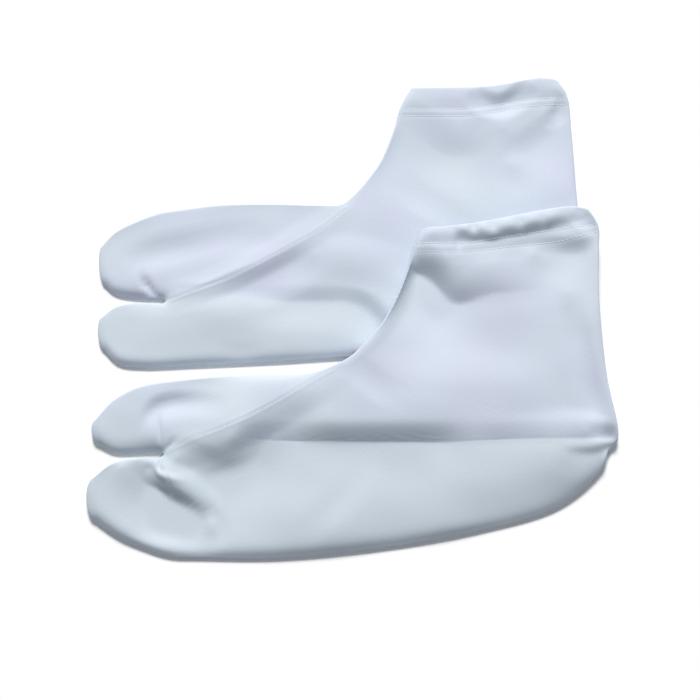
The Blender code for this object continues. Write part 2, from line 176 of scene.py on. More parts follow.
FRONT_CREASES = (
    # the centre seam and the hollow that it throws
    Crease("ridge of the centre seam", 26, 12, 0.1, (
        (-84, -61.5, 0.2), (-72.3, -55.8, 1.5), (-59, -50.9, 2.4), (-45.8, -45.1, 2.7),
        (-32.5, -37.9, 2), (-19.2, -29.8, 1), (-8, -23.8, 0))),
    Crease("hollow under the seam", 11, 56, 0.4, (
        (-78, -64, 0), (-69, -68.4, -2.8), (-61, -71.4, -5.2), (-52.5, -71, -6.2), (-46, -67, -5),
        (-41.5, -60.5, -3.2), (-37, -54.4, -1.8), (-31, -50, -1.2), (-23, -47, -0.8), (-12, -45.6, 0))),
    # the sole
    Crease("fold along the sole", 6.8, 44, 1, (
        (-52, -55, 0), (-44, -55.4, -0.8), (-36, -55.8, -1.8), (-22, -56.2, -2.8), (0, -56.5, -3.1),
        (20, -56.7, -3.1), (38, -56.8, -2.8), (46, -56.6, -2), (54, -56.2, -1.6), (62, -55.9, -1.9),
        (78, -55.5, -1.8), (95, -55.3, -1.6), (106, -55.1, -1.8), (118, -54.5, -2))),
    Crease("swell above that fold", 34, 10, 0, (
        (-26, -47, 0), (-6, -46.8, 1), (20, -46, 1.7), (38, -46, 1.5), (50, -46.5, 1),
        (70, -46, 1.2), (90, -46.5, 0.9), (108, -46, 0))),
    Crease("roll of the sole", 22, 22, 0, (
        (-72, -80, 0), (-45, -80, 1.3), (-10, -76, 0.9), (30, -71, 1), (55, -69, 1.9), (76, -66, 3.1),
        (92, -62, 3.7), (106, -58, 2.5))),
    Crease("roll at the heel seam", 3, 3, 0, ((90, -58.6, 0), (104, -58.4, 0.4), (114, -57.5, 0.3))),
    Crease("notch under that roll", 3.4, 14, 0.3, (
        (92, -62.4, 0), (100, -63, -0.9), (106, -62.6, -1.4), (115, -60.5, -1.4))),
    Crease("hollow of the heel corner", 6, 4, 0.2, ((103, -52, 0), (112, -53.5, -1.4), (119, -53.5, -2))),
    # the ankle
    Crease("fold below the hem", 12.5, 50, 1, (
        (15, 25, -2.6), (21, 23.6, -4.4), (27, 20.2, -5.6), (32.6, 15, -6.2), (37.4, 9.8, -6.4),
        (41.6, 6.2, -6.2), (46.4, 4.8, -5.4), (52, 6.2, -4.2), (60, 9.2, -3), (69, 10, -1.8),
        (80, 11.4, -0.7), (90, 13, 0))),
    Crease("bulge below the hem", 22, 12, 0, (
        (22, 27.5, 0.6), (28, 28, 2), (35, 27.4, 2.7), (41, 25.4, 2.5), (46, 21.4, 1.8),
        (50, 18.6, 1.2), (60, 17.5, 0.8), (72, 18, 0.5), (86, 19.6, 0))),
    Crease("slack below the hem at the back", 7, 44, 0, (
        (81, 27.6, 0), (88, 27.6, -1.4), (95, 27, -2.5), (101, 27, -2.7), (106, 28, -2.2),
        (113, 30, -0.4))),
    Crease("corner of the hem", 8, 6, 0, (
        (99, 46.5, 0), (104.5, 43.5, -1), (108.2, 39, -1.4), (109.4, 33, -0.8), (109.6, 27, 0))),
    Crease("edge of the instep", 4.5, 6, 0, (
        (-10, -22.5, 0), (2, -15.5, 0.4), (10, -8, 0.5), (17.5, 2.5, 0.5), (23, 14, 0.3), (26, 20, 0))),
    Crease("hollow of the instep", 8, 8, 0, (
        (-4, -21, 0), (5, -27, -0.6), (12, -33, -0.6), (24, -39, 0))),
    Crease("hollow of the back", 8, 8, 0, (
        (106, -49, 0), (106, -38, -1.3), (102, -22, -1.4), (98.5, -5, -1.3), (96.5, 10, 0))),
    Crease("pull above the sole", 1.2, 1.2, 0, ((60.6, -41.8, 0), (61.6, -43, -0.3), (62.6, -44.4, 0))),
    # the hem
    Crease("rolled edge of the hem", 8, 5.2, 0, (
        (28, 37, 0.4), (34, 37.4, 1), (40, 37.6, 0.7), (45.5, 38, 0.9), (48.5, 38.4, 2.1),
        (51, 38.6, 2.3), (54, 37.7, 2.2), (57, 38.6, 2.3), (62, 37.6, 2.3), (66, 39.2, 2.3),
        (70, 40.2, 2.3), (75, 40.4, 2.3), (80, 42.4, 2.3), (85, 42.8, 2.3), (90, 44.6, 2),
        (95, 45.8, 1.3), (102, 47.2, 0.2))),
    Crease("valley in the hem", 9, 36, 0, (
        (28, 28.6, -0.3), (34, 28.4, -0.8), (46, 27.8, -0.8), (62, 27.8, -1.3), (70, 29, -1.3),
        (80, 31.2, -1.3), (88, 33.6, -1.1), (94, 36.4, -0.7), (100, 39.4, 0))),
    Crease("first dent of the rolled edge", 2, 2.4, 0, ((53, 44, 0), (53.8, 39, -0.9), (54.4, 35, 0))),
    Crease("second dent of the rolled edge", 2.6, 2, 0, ((61.8, 44, 0), (62.5, 39, -0.8), (63, 35.5, 0))),
    Crease("third dent of the rolled edge", 2.2, 3, 0, (
        (74, 45.5, 0), (74.8, 40.6, -0.9), (75.2, 36.5, 0))),
    Crease("fourth dent of the rolled edge", 2.4, 2.6, 0, (
        (84, 47, 0), (84.8, 42.4, -0.7), (85.4, 38, 0))),
    Crease("start of the stitching", 2.6, 1.6, 0.2, ((46.6, 38.6, 0), (46.9, 33, -0.6), (47.1, 27, 0))),
    # the big toe
    Crease("trough across the big toe", 4.6, 8, 0.1, (
        (-91.5, -49.5, 0), (-90.4, -45.5, -1.2), (-87.6, -41.4, -1.9), (-82, -39.4, -2),
        (-75, -38.8, -1.6), (-65, -39.2, -0.7), (-54, -41, 0))),
    Crease("crease behind the big toe", 1.2, 1.6, 0.5, (
        (-85.6, -57.6, 0), (-86, -53.5, -0.9), (-86.2, -48.5, -0.8), (-86.4, -45, 0))),
    Crease("slack of the big toe", 16, 6, 0, (
        (-113, -51, 0), (-105, -56, -0.9), (-95, -58.4, -1), (-86, -59, 0))),
    Crease("tuck above the split", 1.6, 1.4, 0.6, (
        (-84, -60.8, -1), (-81, -58.2, -1.3), (-77.5, -55.4, 0))),
    # the split and the four toes
    Crease("pucker at the split", 2.4, 2, 0.2, (
        (-86.4, -64, 0.3), (-86.6, -68, 0.9), (-84.5, -71.6, 1.1), (-79, -73.4, 0.6), (-73, -75, 0))),
    Crease("tuck below the split", 1.6, 1.6, 0.5, (
        (-84.4, -63.4, -1), (-85.6, -65.8, -1.6), (-85.6, -68.4, -1.6), (-83.6, -71, 0))),
    Crease("crest above the dip", 9, 8, 0, (
        (-90, -68, 0), (-85, -71.5, 2), (-79, -74.4, 3), (-72.5, -78, 3), (-67, -83, 1.8),
        (-62, -88, 0))),
    Crease("dip by the split", 9, 26, 0.1, (
        (-102, -67.5, 0), (-96.5, -71, -1.4), (-91.5, -76, -3), (-87, -81.4, -4.6),
        (-81, -86.4, -5.2), (-74.5, -89.8, -5), (-69, -91.8, -3), (-63, -93, 0))),
    Crease("slack of the four toes", 8, 5, 0, ((-100, -94, 0), (-91, -98, -0.7), (-80, -101.5, 0))),
    Crease("slack on the side", 8, 8, 0, ((-24, -99, 0), (-12, -89, -0.7), (0, -76, -0.5), (4, -67, 0))),
)
print(f"front sock: {len(FRONT_CREASES)} creases by hand")

# %% The rear sock's creases
REAR_CREASES = (
    # the centre seam and the hollow below it
    Crease("ridge of the centre seam", 9, 7, 0.2, (
        (-84, 7.6, 0.2), (-68.8, 13, 0.8), (-57.6, 16.9, 1.1), (-46.4, 22.4, 1.2),
        (-35.2, 28.6, 1.2), (-24, 34.8, 0.9), (-12.7, 41.8, 0.5), (-3, 49.6, 0.2))),
    Crease("hollow under the seam", 8, 14, 0, (
        (-66, 10, 0), (-56, 12.2, -0.6), (-46, 14.4, -0.9), (-36, 18, -1.1), (-28, 22.6, -1),
        (-18, 29, 0))),
    Crease("edge of the seam allowance", 0.9, 0.9, 0, (
        (-83, 15.6, 0), (-76, 15.3, 0.3), (-68, 15, 0.32), (-57, 19.4, 0.24), (-43, 26, 0))),
    # the sole
    Crease("fold along the sole", 7, 16, 0.6, (
        (-48, 8.4, 0), (-37, 7.6, -0.6), (-28, 7.2, -1.3), (-15, 7.2, -1.8), (-3, 7, -1.8),
        (4, 5, -2.4), (9, 0.8, -2.8), (13, -3.6, -2.6), (19, -9, -1.6))),
    Crease("swell above that fold", 12, 13, 0, ((-26, 24, 0), (-8, 27, 0.8), (8, 26, 0.8), (22, 22, 0))),
    Crease("roll of the big toe and the ball", 8, 17, 0, (
        (-100, -3, 0), (-84, -1, 0.8), (-64, 1.5, 1), (-46, 3, 0.6), (-32, 0, 0))),
    Crease("slack of the ball", 6, 4, 0, ((-62, -16, 0), (-50, -17, -0.5), (-38, -16.5, 0))),
    # the four toes and the split
    Crease("trough across the four toes", 9, 8, 0, (
        (-103, 23.5, 0), (-96, 26.5, -0.9), (-88, 29.3, -1.3), (-78, 31.4, -1.3), (-66, 33.8, -1),
        (-54, 36, -0.6), (-38, 38.5, 0))),
    Crease("tuck by the split", 2.4, 2.4, 0.6, (
        (-97, 18.4, 0), (-94.4, 16.2, -2.4), (-92, 13.2, -3.2), (-90, 10, -3), (-87.6, 6.4, -1.6))),
    # the hem
    Crease("dent in the hem", 5.4, 9, 0.1, (
        (54, 105.6, 0), (58.5, 102, -1.2), (63, 99.6, -1.4), (67.5, 98.8, -1.6), (71.5, 100.4, -1.9),
        (76.5, 104, -1.2), (82, 108.5, 0))),
    Crease("rolled edge of the hem", 6, 6, 0, (
        (25, 103.6, 0.2), (44, 103.6, 0.4), (60, 104.4, 0.5), (78, 108, 0.5), (93, 108, 0.5))),
    Crease("corner of the hem", 4, 8, 0.2, (
        (90, 92, -0.3), (94.2, 96, -1.6), (95.6, 100, -1.3), (95.5, 105, 0))),
    # the ankle
    Crease("slack below the hem", 14, 44, 0.3, (
        (17, 90.5, -0.8), (24, 88.4, -1.4), (31, 83.4, -1.8), (39, 77, -2.1), (48, 74.2, -2.2),
        (57, 76, -1.7), (63, 81, -0.9), (68, 88, 0))),
    Crease("slack below the hem at the back", 12, 30, 0, (
        (73, 71, 0), (80, 75.4, -1.1), (88, 81, -1.6), (94, 86, -1.6), (100, 90, -1))),
    Crease("slack of the ankle", 9, 8, 0, ((20, 64, 0), (32, 54, -0.4), (48, 44, -0.3), (58, 34, 0))),
)
print(f"rear sock: {len(REAR_CREASES)} creases by hand")

# %% [markdown]
# ## Both socks in one form
#
# Everything that differs between the two socks goes into one row each, so every later step can be
# written once. The loft is how high a sock lies, and the roll is how far its sole side's rolled edge
# reaches inwards, both at the toes and further up. A bulge is how far a pocket's tip swells out past
# its last ring.

# %% Both socks
Sock = namedtuple("Sock", "name loft roll sections upper_toe upper_bulge lower_toe lower_bulge creases")
FRONT = Sock(
    name="front", loft=(4.8, 6.8), roll=(1.6, 2.2), sections=FRONT_SECTIONS,
    upper_toe=FRONT_UPPER_TOE, upper_bulge=2.4, lower_toe=FRONT_LOWER_TOE, lower_bulge=3.0,
    creases=FRONT_CREASES)
REAR = Sock(
    name="rear", loft=(3.6, 5.2), roll=(1.4, 1.6), sections=REAR_SECTIONS,
    upper_toe=REAR_UPPER_TOE, upper_bulge=1.8, lower_toe=REAR_LOWER_TOE, lower_bulge=2.0,
    creases=REAR_CREASES)
for sock in (FRONT, REAR):
    toes, ankle = sock.loft
    print(f"the {sock.name} sock lies {toes} mm high at the toes and {ankle} mm further up")

# %% [markdown]
# ## Curves and distances
#
# Three small helpers do the geometry. The first turns a few places into a smooth curve, the second
# finds how far each point of the cloth is from a path, and on which side of it it is, and the third
# spreads columns so that they lie closer together where the cloth bends most.

# %% Helpers
def spline(points, steps, before=None):
    """A smooth curve through the points, with the given number of steps up to each next point.

    A point that comes before the first one, where there is one, sets the way that the curve starts.
    """
    points = np.asarray(points, dtype=float)
    first = points[0] * 2 - points[1] if before is None else np.asarray(before, dtype=float)
    run = np.vstack([first[None], points, (points[-1] * 2 - points[-2])[None]])
    knots = np.sqrt(np.maximum(np.linalg.norm(np.diff(run[:, :2], axis=0), axis=1), 1e-6))
    curve = [points[0]]
    for here, count in enumerate(steps):
        p0, p1, p2, p3 = run[here:here + 4]
        back, across, ahead = knots[here:here + 3]
        leaving = (p2 - p1) + across * ((p1 - p0) / back - (p2 - p0) / (back + across))
        arriving = (p2 - p1) + across * ((p3 - p2) / ahead - (p3 - p1) / (across + ahead))
        for step in range(1, count + 1):
            t = step / count
            curve.append(p1 + (p2 - p1) * (3 - 2 * t) * t ** 2
                         + leaving * t * (1 - t) ** 2 - arriving * t ** 2 * (1 - t))
    return np.array(curve)


def beside_path(path, places):
    """How far each place is from a path, the value there, and the side: 1 left, -1 right.

    Each stretch of the path counts by the fourth power of its nearness, so in a bend the two arms
    blend, where the nearest one alone would leave a sharp line. Along a straight path that adds up
    to pi / 2 over the cube of the gap, and the last line turns it back into the gap.
    """
    starts, runs = path[:-1], np.diff(path, axis=0)
    length = np.maximum(np.hypot(runs[:, 0], runs[:, 1]), 1e-6)[:, None]
    along = runs[:, None, :2] / length[..., None]
    away = places[None] - starts[:, None, :2]
    share = np.clip(np.sum(away * along, axis=2) / length, 0, 1)
    away -= share[..., None] * runs[:, None, :2]
    gap = np.maximum(np.linalg.norm(away, axis=2), 1e-3)
    turn = (along[..., 0] * away[..., 1] - along[..., 1] * away[..., 0]) / gap
    weight = length * gap ** -4
    total = weight.sum(axis=0)
    value = (weight * (starts[:, 2:] + share * runs[:, 2:])).sum(axis=0) / total
    side = (weight * turn).sum(axis=0) / total
    return (total * 2 / math.pi) ** (-1 / 3), value, side


def eased(columns, ease):
    """Shares from 0 to 1, closer together at both ends for an ease near 1."""
    even = np.arange(columns + 1) / columns
    return even - ease * np.sin(2 * math.pi * even) / (2 * math.pi)


print("columns close up at both ends:", np.round(eased(6, 0.7), 2))

# %% [markdown]
# ## The height of the cloth
#
# At the outline the two layers are folded together. Inwards they part, quickly at first and then
# hardly at all, so an exponential fits. Each bit of the outline pulls the cloth down, the near ones
# most, and the pulls are added up. That stays smooth in a rounded toe, where the nearest edge alone
# would leave a sharp line along the middle. The sides that face the mouths stand up at once, and the
# sole side rolls down, first steeply and then over a longer way, so the pull depends on the way that
# the outline faces. A few long, low waves keep the large panels from looking pressed with an iron,
# and the ridges and troughs are added on top.

# %% Ridges, troughs and waves
CREASE_STEPS = 6      # straight pieces that a crease's path has between two of its places

Wave = namedtuple("Wave", "length heading phase lift")
WAVES = (
    Wave(61, 20, 0.4, 0.16),
    Wave(43, 105, 2.1, 0.13),
    Wave(34, 150, 4.0, 0.09),
    Wave(23, 65, 1.2, 0.06),
    Wave(17, 10, 5.1, 0.035),
)


def crease_lift(crease, places, smooth=True):
    """What one crease adds to the height at each place."""
    path = np.array(crease.path, dtype=float)
    if smooth:
        path = spline(path, [CREASE_STEPS] * (len(path) - 1))
    reach = max(crease.left, crease.right)
    low, high = path[:, :2].min(axis=0) - reach, path[:, :2].max(axis=0) + reach
    near = np.flatnonzero(np.all((places > low) & (places < high), axis=1))
    total = np.zeros(len(places))
    if len(near):
        gap, lift, side = beside_path(path, places[near])
        reach = crease.right + (crease.left - crease.right) * (1 + side) / 2
        share = np.minimum(gap / reach, 1)
        sharp = crease.sharp * min(crease.left, crease.right) / reach
        total[near] = lift * ((1 - sharp) * (1 - share ** 2) ** 2 + sharp * (1 - share) ** 2)
    return total


def wave_lift(places):
    """What the long, low waves add to the height at each place."""
    lift = np.zeros(len(places))
    for wave in WAVES:
        heading = math.radians(wave.heading)
        along = places @ np.array([math.cos(heading), math.sin(heading)])
        lift += wave.lift * np.sin(2 * math.pi * along / wave.length + wave.phase)
    return lift


print("waves of", ", ".join(f"{wave.length} mm" for wave in WAVES))

# %% The height of a whole sock
TOE_SPAN = (-118, -55)   # loft and roll change between the toes and here
CREASE_HOLD = 2.0     # creases fade out over about this distance from the outline
MOUTH_START = 0.97    # height at an outline that faces the mouths, as a share of the loft
SOLE_START = 0.2      # the same where it faces the soles
SLOW_SHARE = 0.2      # on the sole side, this share of the roll
SLOW_REACH = 18       # goes on over this distance
FLAT_REACH = 1.2      # the height grows over about this distance where it faces the mouths
ROLL_BLEND = 3        # how sharply the nearest stretch of outline outweighs the others
SOFT_LEAST = 0.5      # how softly the two layers come to rest on each other
FINEST_HOLD = 1.0     # the finest creases fade out over this distance from the outline


def roll_fall(outline, places):
    """How far the outline pulls the cloth down at each place, from 0 to 1, and how near it is."""
    fall = np.zeros(len(places))
    nearest = np.full(len(places), np.inf)
    for x, y, start, reach, slow in outline:
        gap = np.hypot(places[:, 0] - x, places[:, 1] - y)
        along_straight_edge = 2 * reach / ROLL_BLEND / OUTLINE_STEP
        pull = (1 - slow) * np.exp(-gap / reach) + slow * np.exp(-gap / SLOW_REACH)
        fall += ((1 - start) * pull) ** ROLL_BLEND / along_straight_edge
        nearest = np.minimum(nearest, gap)
    return fall ** (1 / ROLL_BLEND), np.maximum(nearest - EDGE_ROUND, 0)


def cloth_height(sock, outline, least, fine_creases, places):
    """Height of the sock from its underside to its top, without and with its finest creases."""
    fall, inwards = roll_fall(outline, places)
    rise = 1 - fall
    hold = 1 - np.exp(-inwards / CREASE_HOLD)
    loft = np.interp(places[:, 0], TOE_SPAN, sock.loft)
    height = loft * rise + wave_lift(places) * hold
    for crease in sock.creases:
        height += crease_lift(crease, places) * hold
    spare = height - least
    height = least + (spare + np.sqrt(spare ** 2 + SOFT_LEAST ** 2)) / 2
    finest = sum(crease_lift(crease, places, smooth=False) for crease in fine_creases)
    return height, height + finest * np.minimum(inwards / FINEST_HOLD, 1)


print(f"at the outline {MOUTH_START} of the loft towards the mouths, {SOLE_START} towards the soles")

# %% [markdown]
# ## Rings of points
#
# The outline curves give each ring its two ends. Columns are spread between them, closest at the
# edges, the seam and the fold along the sole, where the small forms are. Every point is kept as a
# place seen from above and a share of the height there: 1 on top, 0 on the underside, and between
# them round the rolled edge. The heights are worked out for all points at once, which is far
# quicker than ring by ring.

# %% Rows of the foot and ankle
SEAM_EASE = 0.7       # how much the columns close up towards the outer edge and the centre seam
FOLD_EASE = 0.75      # towards the centre seam and the fold along the sole
SOLE_EASE = 0.55      # towards that fold and the sole edge
ROW_SMOOTHING = 200   # rounds of smoothing along the rows at the hem, fewer further down


def ring_of(sock, place):
    """Number of the fine ring at a named row of the outline."""
    count = 0
    for section in sock.sections:
        count += section.rings
        if section.place == place:
            return count


def inward_normals(chain, inside):
    """Unit normals of a chain of outline points, each turned towards its partner inside."""
    along = np.gradient(chain, axis=0)
    across = np.column_stack([-along[:, 1], along[:, 0]])
    across /= np.linalg.norm(across, axis=1)[:, None]
    side = np.sign(np.sum(across * (inside - chain), axis=1))
    return across * np.where(side == 0, 1, side)[:, None]


def body_rows(sock):
    """The outline points at both edges of the foot and ankle, and the rows between them."""
    steps = [section.rings for section in sock.sections[1:]]
    outer, seam, fold, sole = (
        spline([getattr(section, column) for section in sock.sections], steps)
        for column in ("outer", "seam", "fold", "sole")
    )
    outer_in = outer + EDGE_ROUND * inward_normals(outer, seam)
    sole_in = sole + EDGE_ROUND * inward_normals(sole, fold)
    split = seam[-1].copy()
    seam[-1] = split + EDGE_ROUND * (seam[-2] - split) / np.linalg.norm(seam[-2] - split)
    to_seam, to_fold, to_sole = (
        eased(SEAM_COLUMNS, SEAM_EASE)[:, None],
        eased(FOLD_COLUMNS, FOLD_EASE)[:, None],
        eased(SOLE_COLUMNS, SOLE_EASE)[:, None],
    )
    rows = [
        np.vstack([(a + to_seam * (s - a))[:-1], (s + to_fold * (f - s))[:-1], f + to_sole * (b - f)])
        for a, s, f, b in zip(outer_in, seam, fold, sole_in)
    ]
    rows = np.array(rows)
    hem = ring_of(sock, "below the hem")
    for number in range(hem):
        row = rows[number]
        for _ in range(ROW_SMOOTHING * (hem - number) // hem):
            row[1:-1] = (row[:-2] + 2 * row[1:-1] + row[2:]) / 4
    return outer, sole, split, rows


print("each ring has", 2 * (TOP_POINTS + EDGE_ROWS), "points")

# %% [markdown]
# ## Toe pockets
#
# A tabi has one pocket for the big toe and one for the other four. Each pocket carries on the rows
# of the foot from the split forwards, between its own two outline curves, and ends in a rounded tip.
# A tip could be a half circle, but a toe's is flatter, so two powers shape it: the first squares it
# off, and the second rounds its corners.

# %% Rows of a toe pocket
TIP_SQUARENESS = 2.2
TIP_ROUNDNESS = 0.7


def pocket_rows(toe, bulge, split, outer, outer_before, base_row):
    """One toe pocket: its two outline chains, the outline of its rounded end, and its rows."""
    steps = [section.rings for section in toe]
    outer = spline([outer] + [section.outer for section in toe], steps, outer_before)
    inner = spline([split] + [section.inner for section in toe], steps)
    spans = np.linalg.norm(np.diff(base_row, axis=0), axis=1)
    shares = np.concatenate([[0], np.cumsum(spans) / spans.sum()])
    chord = inner[-1] - outer[-1]
    forward = outer[-1] + inner[-1] - outer[-2] - inner[-2]
    forward -= chord * (forward @ chord) / (chord @ chord)
    forward /= np.linalg.norm(forward)
    swell = bulge * np.maximum(1 - np.abs(2 * shares - 1) ** TIP_SQUARENESS, 0) ** TIP_ROUNDNESS
    end = outer[-1] + shares[:, None] * chord + swell[:, None] * forward
    outer_normal = inward_normals(outer, inner)
    inner_normal = inward_normals(inner, outer)
    end_normal = inward_normals(end, end - forward)
    end_normal[0] = outer_normal[-1] - forward
    end_normal[-1] = inner_normal[-1] - forward
    end_normal /= np.linalg.norm(end_normal, axis=1)[:, None]
    rows = [base_row]
    for a, b in zip(outer[1:-1] + EDGE_ROUND * outer_normal[1:-1],
                    inner[1:-1] + EDGE_ROUND * inner_normal[1:-1]):
        rows.append(a + shares[:, None] * (b - a))
    rows.append(end + EDGE_ROUND * end_normal)
    return outer, inner, end, rows


print(f"the tips bulge {FRONT.upper_bulge} and {FRONT.lower_bulge} mm on the front sock")

# %% [markdown]
# ## The skin of a sock
#
# The skin is the outer side of the cloth, closed all round and open at the mouth. It is one grid of
# quads: over the top, round the rolled edge, back along the underside and round the other edge. Its
# faces are made from the numbers of the points, so nothing has to be merged afterwards.

# %% The points and faces of a skin
class Skin:
    """The outer side of one sock, open at its mouth: places with shares of the height, and faces."""

    def __init__(self):
        self.places = []
        self.shares = []
        self.height_from = []
        self.faces = []
        self.rings = []

    def row(self, places):
        """Adds the top and the underside points of a row, and gives their two lists of numbers."""
        first = len(self.places)
        count = len(places)
        self.places += [tuple(place) for place in places] * 2
        self.shares += [1.0] * count + [0.0] * count
        self.height_from += list(range(first, first + count)) * 2
        return list(range(first, first + count)), list(range(first + count, first + 2 * count))

    def edge(self, top_point, outside):
        """Adds the points of the rolled edge from the top down, between a top point and a place."""
        first = len(self.places)
        inside = np.array(self.places[top_point])
        start = math.radians(EDGE_START)
        for row in range(1, EDGE_ROWS + 1):
            turn = start - (start + math.pi / 2) * row / (EDGE_ROWS + 1)
            if turn > 0:
                out = (math.cos(turn) - math.cos(start)) / (1 - math.cos(start))
                share = EDGE_WIDEST + (1 - EDGE_WIDEST) * math.sin(turn) / math.sin(start)
            else:
                out = math.cos(turn)
                share = EDGE_WIDEST + EDGE_WIDEST * math.sin(turn)
            self.places.append(tuple(inside + (outside - inside) * out))
            self.shares.append(share)
            self.height_from.append(top_point)
        return list(range(first, first + EDGE_ROWS))

    def strip(self, one, other):
        """Faces between two lists of points that run side by side."""
        for k in range(len(one) - 1):
            self.faces.append((one[k], other[k], other[k + 1], one[k + 1]))


def ring_loop(top, under, left, right):
    """One closed ring: over the top, down the right edge, back below and up the left edge."""
    return top + right + under[::-1] + left[::-1] + top[:1]


print("the rolled edge has", EDGE_ROWS, "rows of points")

# %% The skins of both socks
def even_outline(sock, path):
    """Even steps along the outline: x, y, share of the loft, reach and slow share of the roll."""
    run = np.concatenate([[0], np.cumsum(np.hypot(*np.diff(path, axis=0).T))])
    steps = np.arange(0, run[-1], OUTLINE_STEP)
    x, y = np.interp(steps, run, path[:, 0]), np.interp(steps, run, path[:, 1])
    faces_sole = ((1 + np.gradient(x) / np.hypot(np.gradient(x), np.gradient(y))) / 2) ** 2
    start = MOUTH_START + (SOLE_START - MOUTH_START) * faces_sole
    sole_reach = np.interp(x, TOE_SPAN, sock.roll)
    reach = FLAT_REACH + (sole_reach - FLAT_REACH) * faces_sole
    slow = SLOW_SHARE * np.interp(x, TOE_SPAN, (0, 1)) * faces_sole
    return np.column_stack([x, y, start, reach, slow])


def make_skin(sock):
    """The outer side of a whole sock as seen from above, with no heights yet."""
    skin = Skin()
    outer, sole, split, rows = body_rows(sock)
    pockets = (
        pocket_rows(sock.upper_toe, sock.upper_bulge, split, outer[-1], outer[-2],
                    rows[-1][:SEAM_COLUMNS + 1]),
        pocket_rows(sock.lower_toe, sock.lower_bulge, split, sole[-1], sole[-2],
                    rows[-1][SEAM_COLUMNS:][::-1]),
    )
    previous = None
    for a, b, places in zip(outer, sole, rows):
        top, under = skin.row(places)
        left, right = skin.edge(top[0], a), skin.edge(top[-1], b)
        loop = ring_loop(top, under, left, right)
        skin.rings.append(loop[:-1])
        if previous:
            skin.strip(previous, loop)
        previous = loop
    split_edge = skin.edge(top[SEAM_COLUMNS], split)

    for upper, (side, inner, end, places) in zip((True, False), pockets):
        if upper:
            previous = ring_loop(top[:SEAM_COLUMNS + 1], under[:SEAM_COLUMNS + 1], left, split_edge)
        else:
            previous = ring_loop(top[SEAM_COLUMNS:][::-1], under[SEAM_COLUMNS:][::-1], right, split_edge)
        for ring in range(1, len(places)):
            ring_top, ring_under = skin.row(places[ring])
            ring_left = skin.edge(ring_top[0], side[ring])
            ring_right = skin.edge(ring_top[-1], inner[ring])
            loop = ring_loop(ring_top, ring_under, ring_left, ring_right)
            skin.strip(*((previous, loop) if upper else (loop, previous)))
            previous = loop
        edges = [skin.edge(inside, outside) for inside, outside in zip(ring_top[1:-1], end[1:-1])]
        edges = [ring_left] + edges + [ring_right]
        columns = [[t] + edge + [u] for t, edge, u in zip(ring_top, edges, ring_under)]
        for one, other in zip(columns[:-1], columns[1:]):
            skin.strip(*((other, one) if upper else (one, other)))
    skin.places = np.array(skin.places)
    skin.shares = np.array(skin.shares)
    upper, lower = (np.vstack([side[1:], end[1:-1], inner[::-1]]) for side, inner, end, _ in pockets)
    skin.outline = even_outline(sock, np.vstack([outer, upper, lower[::-1][1:], sole[::-1]]))
    skin.least = np.full(len(skin.places), LEAST_HEIGHT)
    turned = ring_of(sock, "lower stitching") + HEM_TAIL + 1
    fading = ring_of(sock, "below the hem")
    for number, ring in enumerate(skin.rings[:fading]):
        share = min(1, (fading - number) / (fading - turned))
        skin.least[ring] += 2 * (TURN - WALL) * share
    return skin


front_skin = make_skin(FRONT)
rear_skin = make_skin(REAR)
print(f"front skin: {len(front_skin.faces)} faces, rear skin: {len(rear_skin.faces)} faces")

# %% [markdown]
# ## The finest creases
#
# Two things are finer than a crease: the groove where two panels meet at the centre seam, with the
# seam allowance raised a little beside it, and the line that each row of hem stitching presses into
# the jersey. They follow the sock's own rings and seam, so their paths are read from those.

# %% Seam groove and stitching lines
Line = namedtuple("Line", "name reach lift")
SEAM_BAND = Line("raised allowance beside the seam", 2.2, 0.14)
SEAM_GROOVE = Line("groove of the centre seam", 0.8, -0.14)
HEM_BAND = Line("hem swelling between its stitching lines", 1.8, 0.04)
STITCH_DENT = Line("line pressed in by the stitches", 1.0, -0.1)
LINE_SHARPNESS = 0.2


def crease_along(line, places):
    """A crease along these places, with the same lift all the way."""
    path = np.column_stack([places, np.full(len(places), line.lift)])
    return Crease(line.name, line.reach, line.reach, LINE_SHARPNESS, path)


def row_places(sock, skin, place):
    """Places of a named ring on the top of the sock."""
    ring = skin.rings[ring_of(sock, place)]
    return skin.places[ring][:TOP_POINTS]


def seam_places(sock):
    """Places along the centre seam, from the split to where it runs off over the outline."""
    ridge = next(crease for crease in sock.creases if crease.name == "ridge of the centre seam")
    places = np.array(ridge.path)[:, :2]
    return spline(places, [CREASE_STEPS * 2] * (len(places) - 1))


def finest_creases(sock, skin):
    """Seam groove and stitching lines of one sock."""
    seam = seam_places(sock)
    upper, lower = row_places(sock, skin, "upper stitching"), row_places(sock, skin, "lower stitching")
    return [
        crease_along(SEAM_BAND, seam),
        crease_along(SEAM_GROOVE, seam),
        crease_along(HEM_BAND, (upper + lower) / 2),
        crease_along(STITCH_DENT, upper),
        crease_along(STITCH_DENT, lower),
    ]


finest = {
    sock.name: finest_creases(sock, skin)
    for sock, skin in ((FRONT, front_skin), (REAR, rear_skin))
}
print("seam groove", -SEAM_GROOVE.lift, "mm deep")

# %% [markdown]
# ## Laying the front sock over the rear one
#
# The rear sock lies on the table, so its ground is height 0. The front sock lies on the table with
# its foot, and on the rear sock with its ankle. A simulation could settle it there. Here a grid of
# heights does it, with rays dropped onto the rear sock wherever the front one covers it: the grid is
# widened a little, then each cell lets its neighbours fall away only so fast, which is how cloth
# bridges a step, and the result is smoothed. The same grid answers for any point, so the stitches
# can use it too.

# %% Ground under each sock
DRAPE_STEP = 3.0      # one cell of the grid
DRAPE_REACH = 2       # rounds of widening, and rounds of smoothing at the end
DRAPE_SLOPE = 0.08    # the steepest that the cloth falls away where it bridges a step
DRAPE_MARGIN = 60.0   # room round the rear sock for that slope
NEIGHBOURS = [(i, j) for i in (-1, 0, 1) for j in (-1, 0, 1)]


def flat_table(places):
    """The table, flat at height 0."""
    return np.zeros(len(places))


